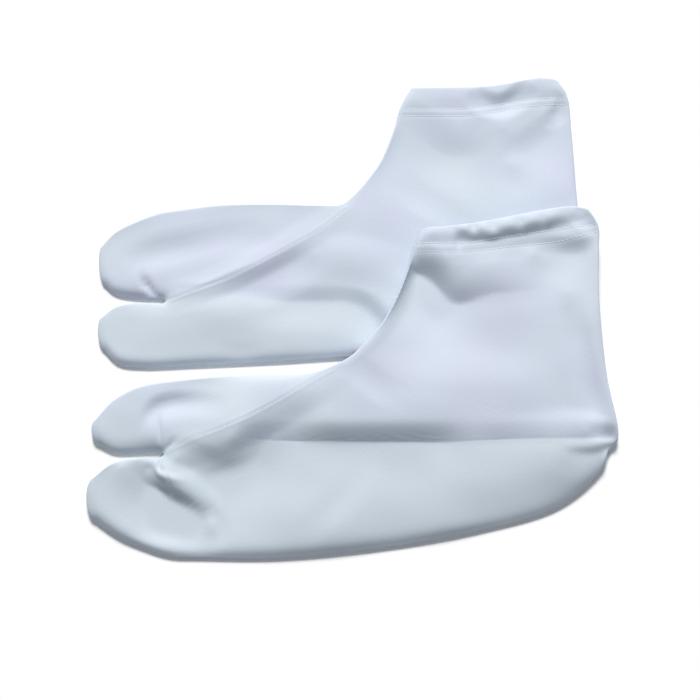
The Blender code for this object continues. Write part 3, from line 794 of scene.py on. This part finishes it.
def shifted(grid, move):
    """The grid moved by whole cells, so that each cell meets one of its neighbours."""
    return np.roll(np.roll(grid, move[0], axis=0), move[1], axis=1)


def lying_over(points, faces, cover):
    """Heights of a surface that slopes smoothly up from the table over the covered part of a sock."""
    low = points[:, :2].min(axis=0) - DRAPE_MARGIN
    high = points[:, :2].max(axis=0) + DRAPE_MARGIN
    xs = np.arange(low[0], high[0], DRAPE_STEP)
    ys = np.arange(low[1], high[1], DRAPE_STEP)
    tree = BVHTree.FromPolygons(points.tolist(), faces)
    flat_cover = np.column_stack([cover.places, np.zeros(len(cover.places))])
    cover_tree = BVHTree.FromPolygons(flat_cover.tolist(), cover.faces)
    above = points[:, 2].max() + 1
    grid = np.zeros((len(xs), len(ys)))
    for i, x in enumerate(xs):
        for j, y in enumerate(ys):
            start, down = Vector((x, y, above)), Vector((0, 0, -1))
            hit = tree.ray_cast(start, down)[0]
            if hit is not None and cover_tree.ray_cast(start, down)[0] is not None:
                grid[i, j] = hit.z + LYING_GAP
    for _ in range(DRAPE_REACH):
        grid = np.max([shifted(grid, move) for move in NEIGHBOURS], axis=0)
    steepest = DRAPE_SLOPE * DRAPE_STEP
    for _ in range(int(DRAPE_MARGIN / DRAPE_STEP)):
        grid = np.max([shifted(grid, move) - steepest * math.hypot(*move) for move in NEIGHBOURS], axis=0)
    for _ in range(DRAPE_REACH):
        grid = np.mean([shifted(grid, move) for move in NEIGHBOURS], axis=0)

    def height(places):
        cell = np.clip((places - low) / DRAPE_STEP, 0, np.array(grid.shape) - 2)
        whole = np.floor(cell).astype(int)
        i, j = whole.T
        u, v = (cell - whole).T
        return (grid[i, j] * (1 - u) * (1 - v) + grid[i + 1, j] * u * (1 - v)
                + grid[i, j + 1] * (1 - u) * v + grid[i + 1, j + 1] * u * v)

    return height


def raise_skin(sock, skin, ground):
    """Points of the skin with its heights: a smooth set, and a set with the finest creases."""
    floor = ground(skin.places)
    on_top = np.flatnonzero(skin.shares == 1)
    heights = np.zeros((2, len(skin.places)))
    heights[:, on_top] = cloth_height(
        sock, skin.outline, skin.least[on_top], finest[sock.name], skin.places[on_top])
    smooth, fine = heights[:, skin.height_from]
    fine = np.where(skin.shares == 1, fine, smooth)
    return tuple(np.column_stack([skin.places, floor + skin.shares * height])
                 for height in (smooth, fine))


rear_smooth, rear_fine = raise_skin(REAR, rear_skin, flat_table)
over_rear = lying_over(rear_smooth, rear_skin.faces, front_skin)
front_smooth, front_fine = raise_skin(FRONT, front_skin, over_rear)
rear_top, pair_top = rear_fine[:, 2].max(), front_fine[:, 2].max()
print(f"the rear sock is {rear_top:.1f} mm high and the pair {pair_top:.1f} mm")

# %% [markdown]
# ## From skin to cloth
#
# Jersey has a thickness, and at the mouth it is folded inside. So the skin goes on over the mouth in
# a half round and down inside as far as the stitching. Then the whole surface gets an inner side,
# one wall thickness behind it. Solidify would do that too, but it would copy the finest grooves to
# the inner side, where they would cut through each other. Here the inner side is offset from the
# smooth set of points instead. It still crosses itself a little where nothing shows: inside the roll
# at the outline, which is tighter than the wall is thick, and in the folded hem, mostly at its ends.

# %% The turned hem
ROLL_RINGS = 5        # rings of the half round over the mouth


def point_normals(points, faces):
    """Unit normals of the points, from the faces round them."""
    corners = points[np.array(faces)]
    across = np.cross(corners[:, 2] - corners[:, 0], corners[:, 3] - corners[:, 1])
    normals = np.zeros_like(points)
    for corner in range(4):
        np.add.at(normals, np.array(faces)[:, corner], across)
    return normals / np.maximum(np.linalg.norm(normals, axis=1), 1e-9)[:, None]


def hem_points(sock, skin, points):
    """Points of the hem from its inner raw edge up to the mouth and over it, ring by ring."""
    normals = point_normals(points, skin.faces)
    tail = ring_of(sock, "lower stitching") + HEM_TAIL
    rings = [points[ring] - normals[ring] * TURN for ring in skin.rings[tail:0:-1]]
    mouth, next_ring = skin.rings[0], skin.rings[1]
    out = points[mouth] - points[next_ring]
    across = normals[mouth]
    out -= np.sum(out * across, axis=1)[:, None] * across
    out /= np.linalg.norm(out, axis=1)[:, None]
    centre = points[mouth] - across * TURN / 2
    for step in range(ROLL_RINGS + 1, 0, -1):
        turn = math.pi * step / (ROLL_RINGS + 1)
        rings.append(centre + TURN / 2 * (across * math.cos(turn) + out * math.sin(turn)))
    return rings


print("the hem goes over the mouth in", ROLL_RINGS, "rings")

# %% The wall
def make_shell(sock, skin, smooth, fine):
    """All points and faces of one sock's cloth, with its turned hem and its inner side."""
    smooth_rings, fine_rings = hem_points(sock, skin, smooth), hem_points(sock, skin, fine)
    count = len(skin.rings[0])
    first = len(smooth)
    numbers = [list(range(first + count * k, first + count * (k + 1))) for k in range(len(smooth_rings))]
    smooth = np.vstack([smooth] + smooth_rings)
    fine = np.vstack([fine] + fine_rings)
    loops = [ring + ring[:1] for ring in numbers + [skin.rings[0]]]
    faces = list(skin.faces)
    for one, other in zip(loops[:-1], loops[1:]):
        faces += [(one[k], other[k], other[k + 1], one[k + 1]) for k in range(count)]
    behind = smooth - point_normals(smooth, faces) * WALL
    total = len(smooth)
    inner_faces = [tuple(total + corner for corner in reversed(face)) for face in faces]
    raw = loops[0]
    rim = [(raw[k], raw[k + 1], total + raw[k + 1], total + raw[k]) for k in range(count)]
    return np.vstack([fine, behind]), faces + inner_faces + rim


front_points, front_faces = make_shell(FRONT, front_skin, front_smooth, front_fine)
rear_points, rear_faces = make_shell(REAR, rear_skin, rear_smooth, rear_fine)
print(f"front sock: {len(front_faces)} faces, rear sock: {len(rear_faces)} faces")

# %% [markdown]
# ## The knitted jersey
#
# Up close the cloth is a fine knit: columns of loops, called wales, run down the leg, and rows of
# loops, called courses, cross them. At this size they only break up the light, so they are bump, not
# geometry, and a faint shade between the loops is painted into the colour. On a larger scale the
# white is uneven, a little bluer here and a little greyer there, and the sole panel is tinted darker
# and greener as painted shade. A soft sheen comes from the stretch yarn.
#
# An image could hold the knit, but two wave textures on the object's own coordinates cost nothing
# and stay sharp at any distance.

# %% Nodes for the materials
MIX_SHARE, MIX_ONE, MIX_OTHER = 0, 6, 7   # a Mix node's own numbers for its sockets on colours
MIX_RESULT = 2


def wave_scale(period):
    """Scale of a Wave texture whose straight bands repeat after this many millimetres.

    Across such bands the texture's phase grows by 20 times its scale for each metre.
    """
    return 2 * math.pi / (20 * period * MM)


def node_of(tree, kind, label, **values):
    """A shader node with these inputs set by name."""
    node = tree.nodes.new(kind)
    node.label = label
    for name, value in values.items():
        node.inputs[name].default_value = value
    return node


def mixed(tree, share, one, other, label):
    """The result of a colour mix node. Each of its two colours may be a socket or plain values."""
    node = tree.nodes.new("ShaderNodeMix")
    node.data_type = "RGBA"
    node.label = label
    tree.links.new(share, node.inputs[MIX_SHARE])
    for socket, value in ((node.inputs[MIX_ONE], one), (node.inputs[MIX_OTHER], other)):
        if isinstance(value, tuple):
            socket.default_value = value
        else:
            tree.links.new(value, socket)
    return node.outputs[MIX_RESULT]


print("straight bands a millimetre apart take a scale of", round(wave_scale(1)))

# %% Jersey
WALE = 0.62           # from one column of loops to the next
COURSE = 0.50         # from one row of loops to the next
COURSE_SHARE = 0.45   # height of the courses, where the wales are 1
WALE_LEAN = 4.0       # degrees that the leg leans from the table's Y
# painted shade: the colour that the gaps between the wales are darkened towards
SHADE_BETWEEN_LOOPS = (0.35, 0.38, 0.45, 1)

# plain and bluer are the jersey's own uneven white; sole is darker and greener, painted shade on the sole
# panel
Tints = namedtuple("Tints", "plain bluer sole")
FRONT_TINTS = Tints(
    plain=(0.60, 0.675, 0.75, 1), bluer=(0.595, 0.648, 0.757, 1), sole=(0.545, 0.615, 0.675, 1))
REAR_TINTS = Tints(
    plain=(0.605, 0.68, 0.755, 1), bluer=(0.60, 0.65, 0.77, 1), sole=(0.59, 0.66, 0.73, 1))


def make_jersey(name, tints):
    """Fine white stretch jersey: its knit as bump, its tints with painted shade, its roughness and sheen.
    """
    material = bpy.data.materials.new(name)
    material.use_nodes = True
    tree = material.node_tree
    shader = tree.nodes["Principled BSDF"]
    place = tree.nodes.new("ShaderNodeTexCoord").outputs["Object"]
    lean = node_of(tree, "ShaderNodeMapping", "wales run down the leg",
                   Rotation=(0, 0, math.radians(WALE_LEAN)))
    tree.links.new(place, lean.inputs["Vector"])

    wales = node_of(tree, "ShaderNodeTexWave", "wales", Scale=wave_scale(WALE), Distortion=0.6)
    courses = node_of(tree, "ShaderNodeTexWave", "courses", Scale=wave_scale(COURSE), Distortion=0.8)
    courses.bands_direction = "Y"
    for texture in (wales, courses):
        texture.inputs["Detail"].default_value = 0.0
        tree.links.new(lean.outputs["Vector"], texture.inputs["Vector"])
    loops = node_of(tree, "ShaderNodeMath", "loops")
    loops.operation = "MULTIPLY_ADD"
    tree.links.new(courses.outputs["Fac"], loops.inputs[0])
    loops.inputs[1].default_value = COURSE_SHARE
    tree.links.new(wales.outputs["Fac"], loops.inputs[2])
    fuzz = node_of(tree, "ShaderNodeTexNoise", "uneven yarn", Scale=700.0, Detail=3.0)
    tree.links.new(place, fuzz.inputs["Vector"])

    knit = node_of(tree, "ShaderNodeBump", "knit", Strength=0.18, Distance=0.08 * MM)
    tree.links.new(loops.outputs[0], knit.inputs["Height"])
    yarn = node_of(tree, "ShaderNodeBump", "yarn", Strength=0.3, Distance=0.15 * MM)
    tree.links.new(fuzz.outputs["Fac"], yarn.inputs["Height"])
    tree.links.new(knit.outputs["Normal"], yarn.inputs["Normal"])
    tree.links.new(yarn.outputs["Normal"], shader.inputs["Normal"])

    cloud = node_of(tree, "ShaderNodeTexNoise", "uneven white", Scale=24.0, Detail=2.0)
    tree.links.new(place, cloud.inputs["Vector"])
    spread = node_of(tree, "ShaderNodeMapRange", "patches", **{"From Min": 0.35, "From Max": 0.65})
    tree.links.new(cloud.outputs["Fac"], spread.inputs["Value"])
    sole = tree.nodes.new("ShaderNodeAttribute")
    sole.attribute_name = "sole"
    tint = mixed(tree, spread.outputs["Result"], tints.plain, tints.bluer, "bluer patches")
    # painted shade on the sole panel, by the sole attribute
    tint = mixed(tree, sole.outputs["Fac"], tint, tints.sole, "painted shade on the sole")
    # painted shade between the loops, where the wales' bands are low
    shade = node_of(tree, "ShaderNodeMapRange", "painted shade between loops", **{"To Min": 0.03, "To Max": 0.0})
    tree.links.new(wales.outputs["Fac"], shade.inputs["Value"])
    tint = mixed(tree, shade.outputs["Result"], tint, SHADE_BETWEEN_LOOPS, "between loops")
    tree.links.new(tint, shader.inputs["Base Color"])

    rough = node_of(tree, "ShaderNodeMapRange", "roughness", **{"To Min": 0.55, "To Max": 0.68})
    tree.links.new(fuzz.outputs["Fac"], rough.inputs["Value"])
    tree.links.new(rough.outputs["Result"], shader.inputs["Roughness"])
    shader.inputs["Specular IOR Level"].default_value = 0.3
    shader.inputs["Sheen Weight"].default_value = 0.12
    shader.inputs["Sheen Roughness"].default_value = 0.45
    shader.inputs["Sheen Tint"].default_value = (0.92, 0.95, 1, 1)
    return material


front_jersey = make_jersey("front jersey", FRONT_TINTS)
rear_jersey = make_jersey("rear jersey", REAR_TINTS)
print("scale of the wales", round(wave_scale(WALE)), "and of the courses", round(wave_scale(COURSE)))

# %% [markdown]
# ## The sock meshes
#
# Each mesh is shifted so that the pair's box is centred, as the imported solids are. A point attribute
# says how much a point belongs to the sole panel, and the material paints shade there by it.

# %% Meshes
# the painted shade on the sole panel fades in over this width
SOLE_BLEND = 3.0      # the panels' tints meet over this width


def box_middle(*clouds):
    """The middle of the box round all these points, seen from above."""
    points = np.vstack(clouds)[:, :2]
    return np.append((points.min(axis=0) + points.max(axis=0)) / 2, 0)


# the mask of the painted shade on the sole panel
def sole_shares(sock, points):
    """1 on the sole panel and 0 above it. The fold along the sole divides them.

    Past the fold's two ends the line between them goes on along X.
    """
    fold = next(crease for crease in sock.creases if crease.name == "fold along the sole")
    path = np.array(fold.path)
    line = np.interp(points[:, 0], path[:, 0], path[:, 1])
    return np.clip(0.5 + (line - points[:, 1]) / SOLE_BLEND, 0, 1)


def make_piece(name, points, faces, material):
    """A mesh object at the origin from points in millimetres."""
    mesh = bpy.data.meshes.new(name)
    mesh.from_pydata(((points - middle) * MM).tolist(), [], faces)
    mesh.shade_smooth()
    mesh.materials.append(material)
    piece = bpy.data.objects.new(name, mesh)
    bpy.context.scene.collection.objects.link(piece)
    return piece


def make_sock(sock, points, faces, material):
    """The cloth of one sock, with the attribute that marks its sole panel."""
    piece = make_piece(f"{sock.name}_sock_cloth", points, faces, material)
    share = piece.data.attributes.new("sole", "FLOAT", "POINT")
    share.data.foreach_set("value", sole_shares(sock, points).astype(np.float32))
    return piece


middle = box_middle(front_smooth, rear_smooth)
front_sock = make_sock(FRONT, front_points, front_faces, front_jersey)
rear_sock = make_sock(REAR, rear_points, rear_faces, rear_jersey)
print("shifted by", np.round(middle, 2), "mm")

# %% [markdown]
# ## Stitches
#
# A hem like this is sewn with two needles: two rows of short stitches run side by side all round
# it. The centre seam shows a finer row. Each row is the same small thing many times along a path,
# which is just what Geometry Nodes is for: the path is cut into equal steps, a short rounded stitch
# is put at each, turned along the path, and a little unevenness is added with a fixed seed.

# %% Stitch tree
STITCH_SIDES = 6      # each stitch is a small sphere with few faces, stretched along its row
STITCH_RINGS = 5
RANDOM_LEAST, RANDOM_MOST = 2, 3   # a Random Value node's own numbers for its sockets on floats
RANDOM_VALUE = 1


def add_socket(tree, name, kind, value=None):
    """A named input of the tree. Gives the identifier by which a modifier sets it."""
    socket = tree.interface.new_socket(name, in_out="INPUT", socket_type=kind)
    if value is not None:
        socket.default_value = value
    return socket.identifier


def make_stitch_tree():
    """Geometry Nodes: a rounded stitch at each step of a path. Gives the tree and its inputs."""
    tree = bpy.data.node_groups.new("stitches along a path", "GeometryNodeTree")
    tree.interface.new_socket("Geometry", in_out="OUTPUT", socket_type="NodeSocketGeometry")
    add_socket(tree, "Geometry", "NodeSocketGeometry")
    inputs = {
        "Step": add_socket(tree, "Step", "NodeSocketFloat", 0.0025),
        "Stitch": add_socket(tree, "Stitch", "NodeSocketVector"),
        "Unevenness": add_socket(tree, "Unevenness", "NodeSocketFloat", 0.05),
        "Seed": add_socket(tree, "Seed", "NodeSocketInt", 1),
        "Thread": add_socket(tree, "Thread", "NodeSocketMaterial"),
    }
    new, link = tree.nodes.new, tree.links.new
    given, made = new("NodeGroupInput"), new("NodeGroupOutput")
    curve = new("GeometryNodeMeshToCurve")
    link(given.outputs["Geometry"], curve.inputs["Mesh"])
    steps = new("GeometryNodeResampleCurve")
    steps.mode = "LENGTH"
    link(curve.outputs["Curve"], steps.inputs["Curve"])
    link(given.outputs["Step"], steps.inputs["Length"])
    points = new("GeometryNodeCurveToPoints")
    points.mode = "EVALUATED"
    link(steps.outputs["Curve"], points.inputs["Curve"])

    stitch = new("GeometryNodeMeshUVSphere")
    stitch.inputs["Segments"].default_value = STITCH_SIDES
    stitch.inputs["Rings"].default_value = STITCH_RINGS
    shaped = new("GeometryNodeTransform")
    link(stitch.outputs["Mesh"], shaped.inputs["Geometry"])
    link(given.outputs["Stitch"], shaped.inputs["Scale"])

    along = new("FunctionNodeAlignRotationToVector")
    along.axis = "X"
    link(points.outputs["Tangent"], along.inputs["Vector"])
    uneven = new("FunctionNodeRandomValue")
    uneven.data_type = "FLOAT"
    minus = new("ShaderNodeMath")
    minus.operation = "MULTIPLY"
    minus.inputs[1].default_value = -1.0
    link(given.outputs["Unevenness"], minus.inputs[0])
    link(minus.outputs[0], uneven.inputs[RANDOM_LEAST])
    link(given.outputs["Unevenness"], uneven.inputs[RANDOM_MOST])
    link(given.outputs["Seed"], uneven.inputs["Seed"])
    swing = new("ShaderNodeCombineXYZ")
    link(uneven.outputs[RANDOM_VALUE], swing.inputs["Z"])
    placed = new("GeometryNodeInstanceOnPoints")
    link(points.outputs["Points"], placed.inputs["Points"])
    link(shaped.outputs["Geometry"], placed.inputs["Instance"])
    link(along.outputs["Rotation"], placed.inputs["Rotation"])
    turned = new("GeometryNodeRotateInstances")
    link(placed.outputs["Instances"], turned.inputs["Instances"])
    link(swing.outputs["Vector"], turned.inputs["Rotation"])
    real = new("GeometryNodeRealizeInstances")
    link(turned.outputs["Instances"], real.inputs["Geometry"])
    threaded = new("GeometryNodeSetMaterial")
    link(real.outputs["Geometry"], threaded.inputs["Geometry"])
    link(given.outputs["Thread"], threaded.inputs["Material"])
    link(threaded.outputs["Geometry"], made.inputs["Geometry"])
    return tree, inputs


stitch_tree, stitch_inputs = make_stitch_tree()
print("stitch tree takes:", ", ".join(stitch_inputs))

# %% [markdown]
# ## The thread
#
# The thread is white too, smoother than the jersey and twisted. At this size a stitch is only a few
# turns of the twist long, so a slanted wave texture stands for it, as bump and as a faint line of
# painted shade.

# %% Thread material
THREAD_TWIST = 0.7    # from one turn of the thread's twist to the next, along X
# painted shade: the colour in the grooves of the twist
SHADE_IN_THE_TWIST = (0.62, 0.67, 0.75, 1)


def make_thread(name, colour):
    """White sewing thread, smoother than the jersey, with its twist as bump."""
    material = bpy.data.materials.new(name)
    material.use_nodes = True
    tree = material.node_tree
    shader = tree.nodes["Principled BSDF"]
    place = tree.nodes.new("ShaderNodeTexCoord").outputs["Object"]
    # diagonal bands lie twice as far apart along X as straight ones do
    twist = node_of(tree, "ShaderNodeTexWave", "twist", Scale=wave_scale(THREAD_TWIST / 2))
    twist.bands_direction = "DIAGONAL"
    tree.links.new(place, twist.inputs["Vector"])
    bump = node_of(tree, "ShaderNodeBump", "twist", Strength=0.4, Distance=0.05 * MM)
    tree.links.new(twist.outputs["Fac"], bump.inputs["Height"])
    tree.links.new(bump.outputs["Normal"], shader.inputs["Normal"])
    # painted shade in the grooves of the twist
    tint = mixed(tree, twist.outputs["Fac"], SHADE_IN_THE_TWIST, colour, "painted shade in the twist")
    tree.links.new(tint, shader.inputs["Base Color"])
    shader.inputs["Roughness"].default_value = 0.5
    shader.inputs["Sheen Weight"].default_value = 0.1
    return material


front_thread = make_thread("front thread", (0.72, 0.77, 0.85, 1))
rear_thread = make_thread("rear thread", (0.73, 0.78, 0.86, 1))
print("thread twist every", THREAD_TWIST, "mm")

# %% [markdown]
# ## Sewing the rows
#
# On the real hem both rows go all round the tube, so each is sewn along the top and along the
# underside. Every stitch is a little longer than its step, so the row reads as one line, and it is
# sunk into the jersey as a tight thread is. The paths are the same rings and the same seam that the
# cloth was made from, so the stitches can't drift off it.

# %% Stitch rows
Stitching = namedtuple("Stitching", "step length width height sink unevenness seed")
HEM_STITCHING = Stitching(
    step=2.0, length=2.3, width=0.45, height=0.3, sink=0.18, unevenness=0.05, seed=3)
SEAM_STITCHING = Stitching(
    step=1.7, length=1.9, width=0.3, height=0.2, sink=0.13, unevenness=0.03, seed=8)
ROW_ENDS = 1          # points of a hem row left out where it meets the rolled edge
SEAM_ENDS = 4         # points of the seam left out at the split and at the outline


def sew(name, paths, stitching, thread):
    """A piece of stitches along open paths of points in millimetres."""
    points, edges = [], []
    for path in paths:
        path[:, 2] = np.maximum(path[:, 2], stitching.height / 2)
        first = len(points)
        points += ((path - middle) * MM).tolist()
        edges += [(first + k, first + k + 1) for k in range(len(path) - 1)]
    mesh = bpy.data.meshes.new(name + "_path")
    mesh.from_pydata(points, edges, [])
    guide = bpy.data.objects.new(name + "_path", mesh)
    bpy.context.scene.collection.objects.link(guide)
    nodes = guide.modifiers.new("stitches", "NODES")
    nodes.node_group = stitch_tree
    nodes[stitch_inputs["Step"]] = stitching.step * MM
    half = [size * MM / 2 for size in (stitching.length, stitching.width, stitching.height)]
    nodes[stitch_inputs["Stitch"]] = half
    nodes[stitch_inputs["Unevenness"]] = stitching.unevenness
    nodes[stitch_inputs["Seed"]] = stitching.seed
    nodes[stitch_inputs["Thread"]] = thread
    depsgraph = bpy.context.evaluated_depsgraph_get()
    made = bpy.data.meshes.new_from_object(guide.evaluated_get(depsgraph))
    bpy.data.objects.remove(guide, do_unlink=True)
    made.name = name
    for vertex in made.vertices:
        vertex.co.z = max(vertex.co.z, 0)
    made.shade_smooth()
    piece = bpy.data.objects.new(name, made)
    bpy.context.scene.collection.objects.link(piece)
    return piece


def hem_paths(sock, skin, points, stitching):
    """Both rows of the hem on the outer face of the cloth, over the top and along the underside."""
    normals = point_normals(points, skin.faces)
    rise = stitching.height / 2 - stitching.sink
    paths = []
    for place in ("upper stitching", "lower stitching"):
        ring = np.array(skin.rings[ring_of(sock, place)])
        for layer in (1, 0):
            row = ring[skin.shares[ring] == layer][ROW_ENDS:-ROW_ENDS]
            paths.append(points[row] + normals[row] * rise)
    return paths


def seam_paths(sock, skin, ground, stitching):
    """The row of the centre seam, on top of the sock, from the split to the outline."""
    places = seam_places(sock)
    _, height = cloth_height(sock, skin.outline, LEAST_HEIGHT, finest[sock.name], places)
    height += ground(places) + stitching.height / 2 - stitching.sink
    return [np.column_stack([places, height])[SEAM_ENDS:-SEAM_ENDS]]


front_hem_stitches = sew(
    "front_hem_stitches", hem_paths(FRONT, front_skin, front_fine, HEM_STITCHING),
    HEM_STITCHING, front_thread)
rear_hem_stitches = sew(
    "rear_hem_stitches", hem_paths(REAR, rear_skin, rear_fine, HEM_STITCHING),
    HEM_STITCHING, rear_thread)
front_seam_stitches = sew(
    "front_seam_stitches", seam_paths(FRONT, front_skin, over_rear, SEAM_STITCHING),
    SEAM_STITCHING, front_thread)
rear_seam_stitches = sew(
    "rear_seam_stitches", seam_paths(REAR, rear_skin, flat_table, SEAM_STITCHING),
    SEAM_STITCHING, rear_thread)
for piece in (front_hem_stitches, rear_hem_stitches, front_seam_stitches, rear_seam_stitches):
    print(piece.name, len(piece.data.polygons), "faces")

# %% [markdown]
# ## Joining the pieces to the frame
#
# A pair of socks has no joint, so every piece rides on the one body. Each sock's cloth stands for
# its imported solid.


dressed = (
    (front_sock, (front_hem_stitches, front_seam_stitches), "front_sock", "front_jersey", front_skin,
     front_smooth, ["rear_sock"]),
    (rear_sock, (rear_hem_stitches, rear_seam_stitches), "rear_sock", "rear_jersey", rear_skin,
     rear_smooth, []),
)
for cloth, stitches, node, slot, skin, points, rests_on in dressed:
    for piece in (cloth, *stitches):
        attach(piece, "root")
    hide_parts(node)

# %% [markdown]
# ## Table and light
#
# The socks lie on a plain pale table. The light comes from beyond the mouths of the socks, broad and
# soft, so the creases throw their shade towards the soles, and the sky fills the rest. An area lamp
# could do it, but a sun with a wide angle gives the same light on both socks.

# %% Table
TABLE_SIZE = 4        # metres
TABLE_DROP = 0.0002   # metres from the socks' underside down to the table
TABLE_WHITE = (0.97, 0.97, 0.97, 1)


def make_table():
    """A plain pale table under the socks."""
    bpy.ops.mesh.primitive_plane_add(size=TABLE_SIZE, location=(0, 0, -TABLE_DROP))
    table = bpy.context.object
    table.name = "table"
    material = bpy.data.materials.new("pale table")
    material.use_nodes = True
    shader = material.node_tree.nodes["Principled BSDF"]
    shader.inputs["Base Color"].default_value = TABLE_WHITE
    shader.inputs["Roughness"].default_value = 0.8
    table.data.materials.append(material)


make_table()
print("a table of", TABLE_SIZE, "metres")

# %% Light
SUN_ELEVATION = 40    # degrees over the table
SUN_AZIMUTH = 92      # 90 would be straight from the mouths' side
SUN_STRENGTH = 3.8
SUN_SPREAD = 18       # degrees across, which sets how soft the edges of the shade are
SUN_COLOUR = (1, 0.985, 0.965)
SKY_STRENGTH = 0.30
SKY_COLOUR = (0.87, 0.91, 1, 1)


def make_sun():
    """One broad, soft light from beyond the mouths of the socks."""
    sun = bpy.data.objects.new("window", bpy.data.lights.new("window", "SUN"))
    sun.data.energy = SUN_STRENGTH
    sun.data.angle = math.radians(SUN_SPREAD)
    sun.data.color = SUN_COLOUR
    high, round_it = math.radians(SUN_ELEVATION), math.radians(SUN_AZIMUTH)
    towards = Vector((math.cos(high) * math.cos(round_it), math.cos(high) * math.sin(round_it),
                      math.sin(high)))
    sun.rotation_euler = (-towards).to_track_quat("-Z", "Y").to_euler()
    bpy.context.scene.collection.objects.link(sun)


def make_sky():
    """Even, slightly blue light from everywhere else."""
    sky = bpy.data.worlds.new("sky")
    sky.use_nodes = True
    background = sky.node_tree.nodes["Background"]
    background.inputs["Color"].default_value = SKY_COLOUR
    background.inputs["Strength"].default_value = SKY_STRENGTH
    bpy.context.scene.world = sky


make_sun()
make_sky()
bpy.context.scene.view_settings.view_transform = "Standard"
print("one soft sun and the sky")

# %% [markdown]
# ## The camera
#
# The camera stands on the sole side and looks down steeply, so the socks show almost as they do from
# above. The lens follows from two sizes that are easy to measure: how far away the camera is, and
# how wide a strip of the table it takes in there.

# %% Camera
CAMERA_ELEVATION = math.radians(80)
CAMERA_DISTANCE = 0.8     # metres from its aim
CAMERA_WIDTH = 0.315      # metres that it takes in, at the distance of its aim
CAMERA_AIM = np.array([-1.35, -14.4, 0])   # millimetres
SENSOR_WIDTH = 36         # millimetres

camera = bpy.data.objects.new("camera", bpy.data.cameras.new("camera"))
camera.data.sensor_width = SENSOR_WIDTH
camera.data.lens = SENSOR_WIDTH * CAMERA_DISTANCE / CAMERA_WIDTH
back = Vector((0, -math.cos(CAMERA_ELEVATION), math.sin(CAMERA_ELEVATION)))
camera.location = Vector((CAMERA_AIM - middle) * MM) + back * CAMERA_DISTANCE
camera.rotation_euler = (math.pi / 2 - CAMERA_ELEVATION, 0, 0)
bpy.context.scene.collection.objects.link(camera)
bpy.context.scene.camera = camera
print(f"lens of {camera.data.lens:.1f} mm")
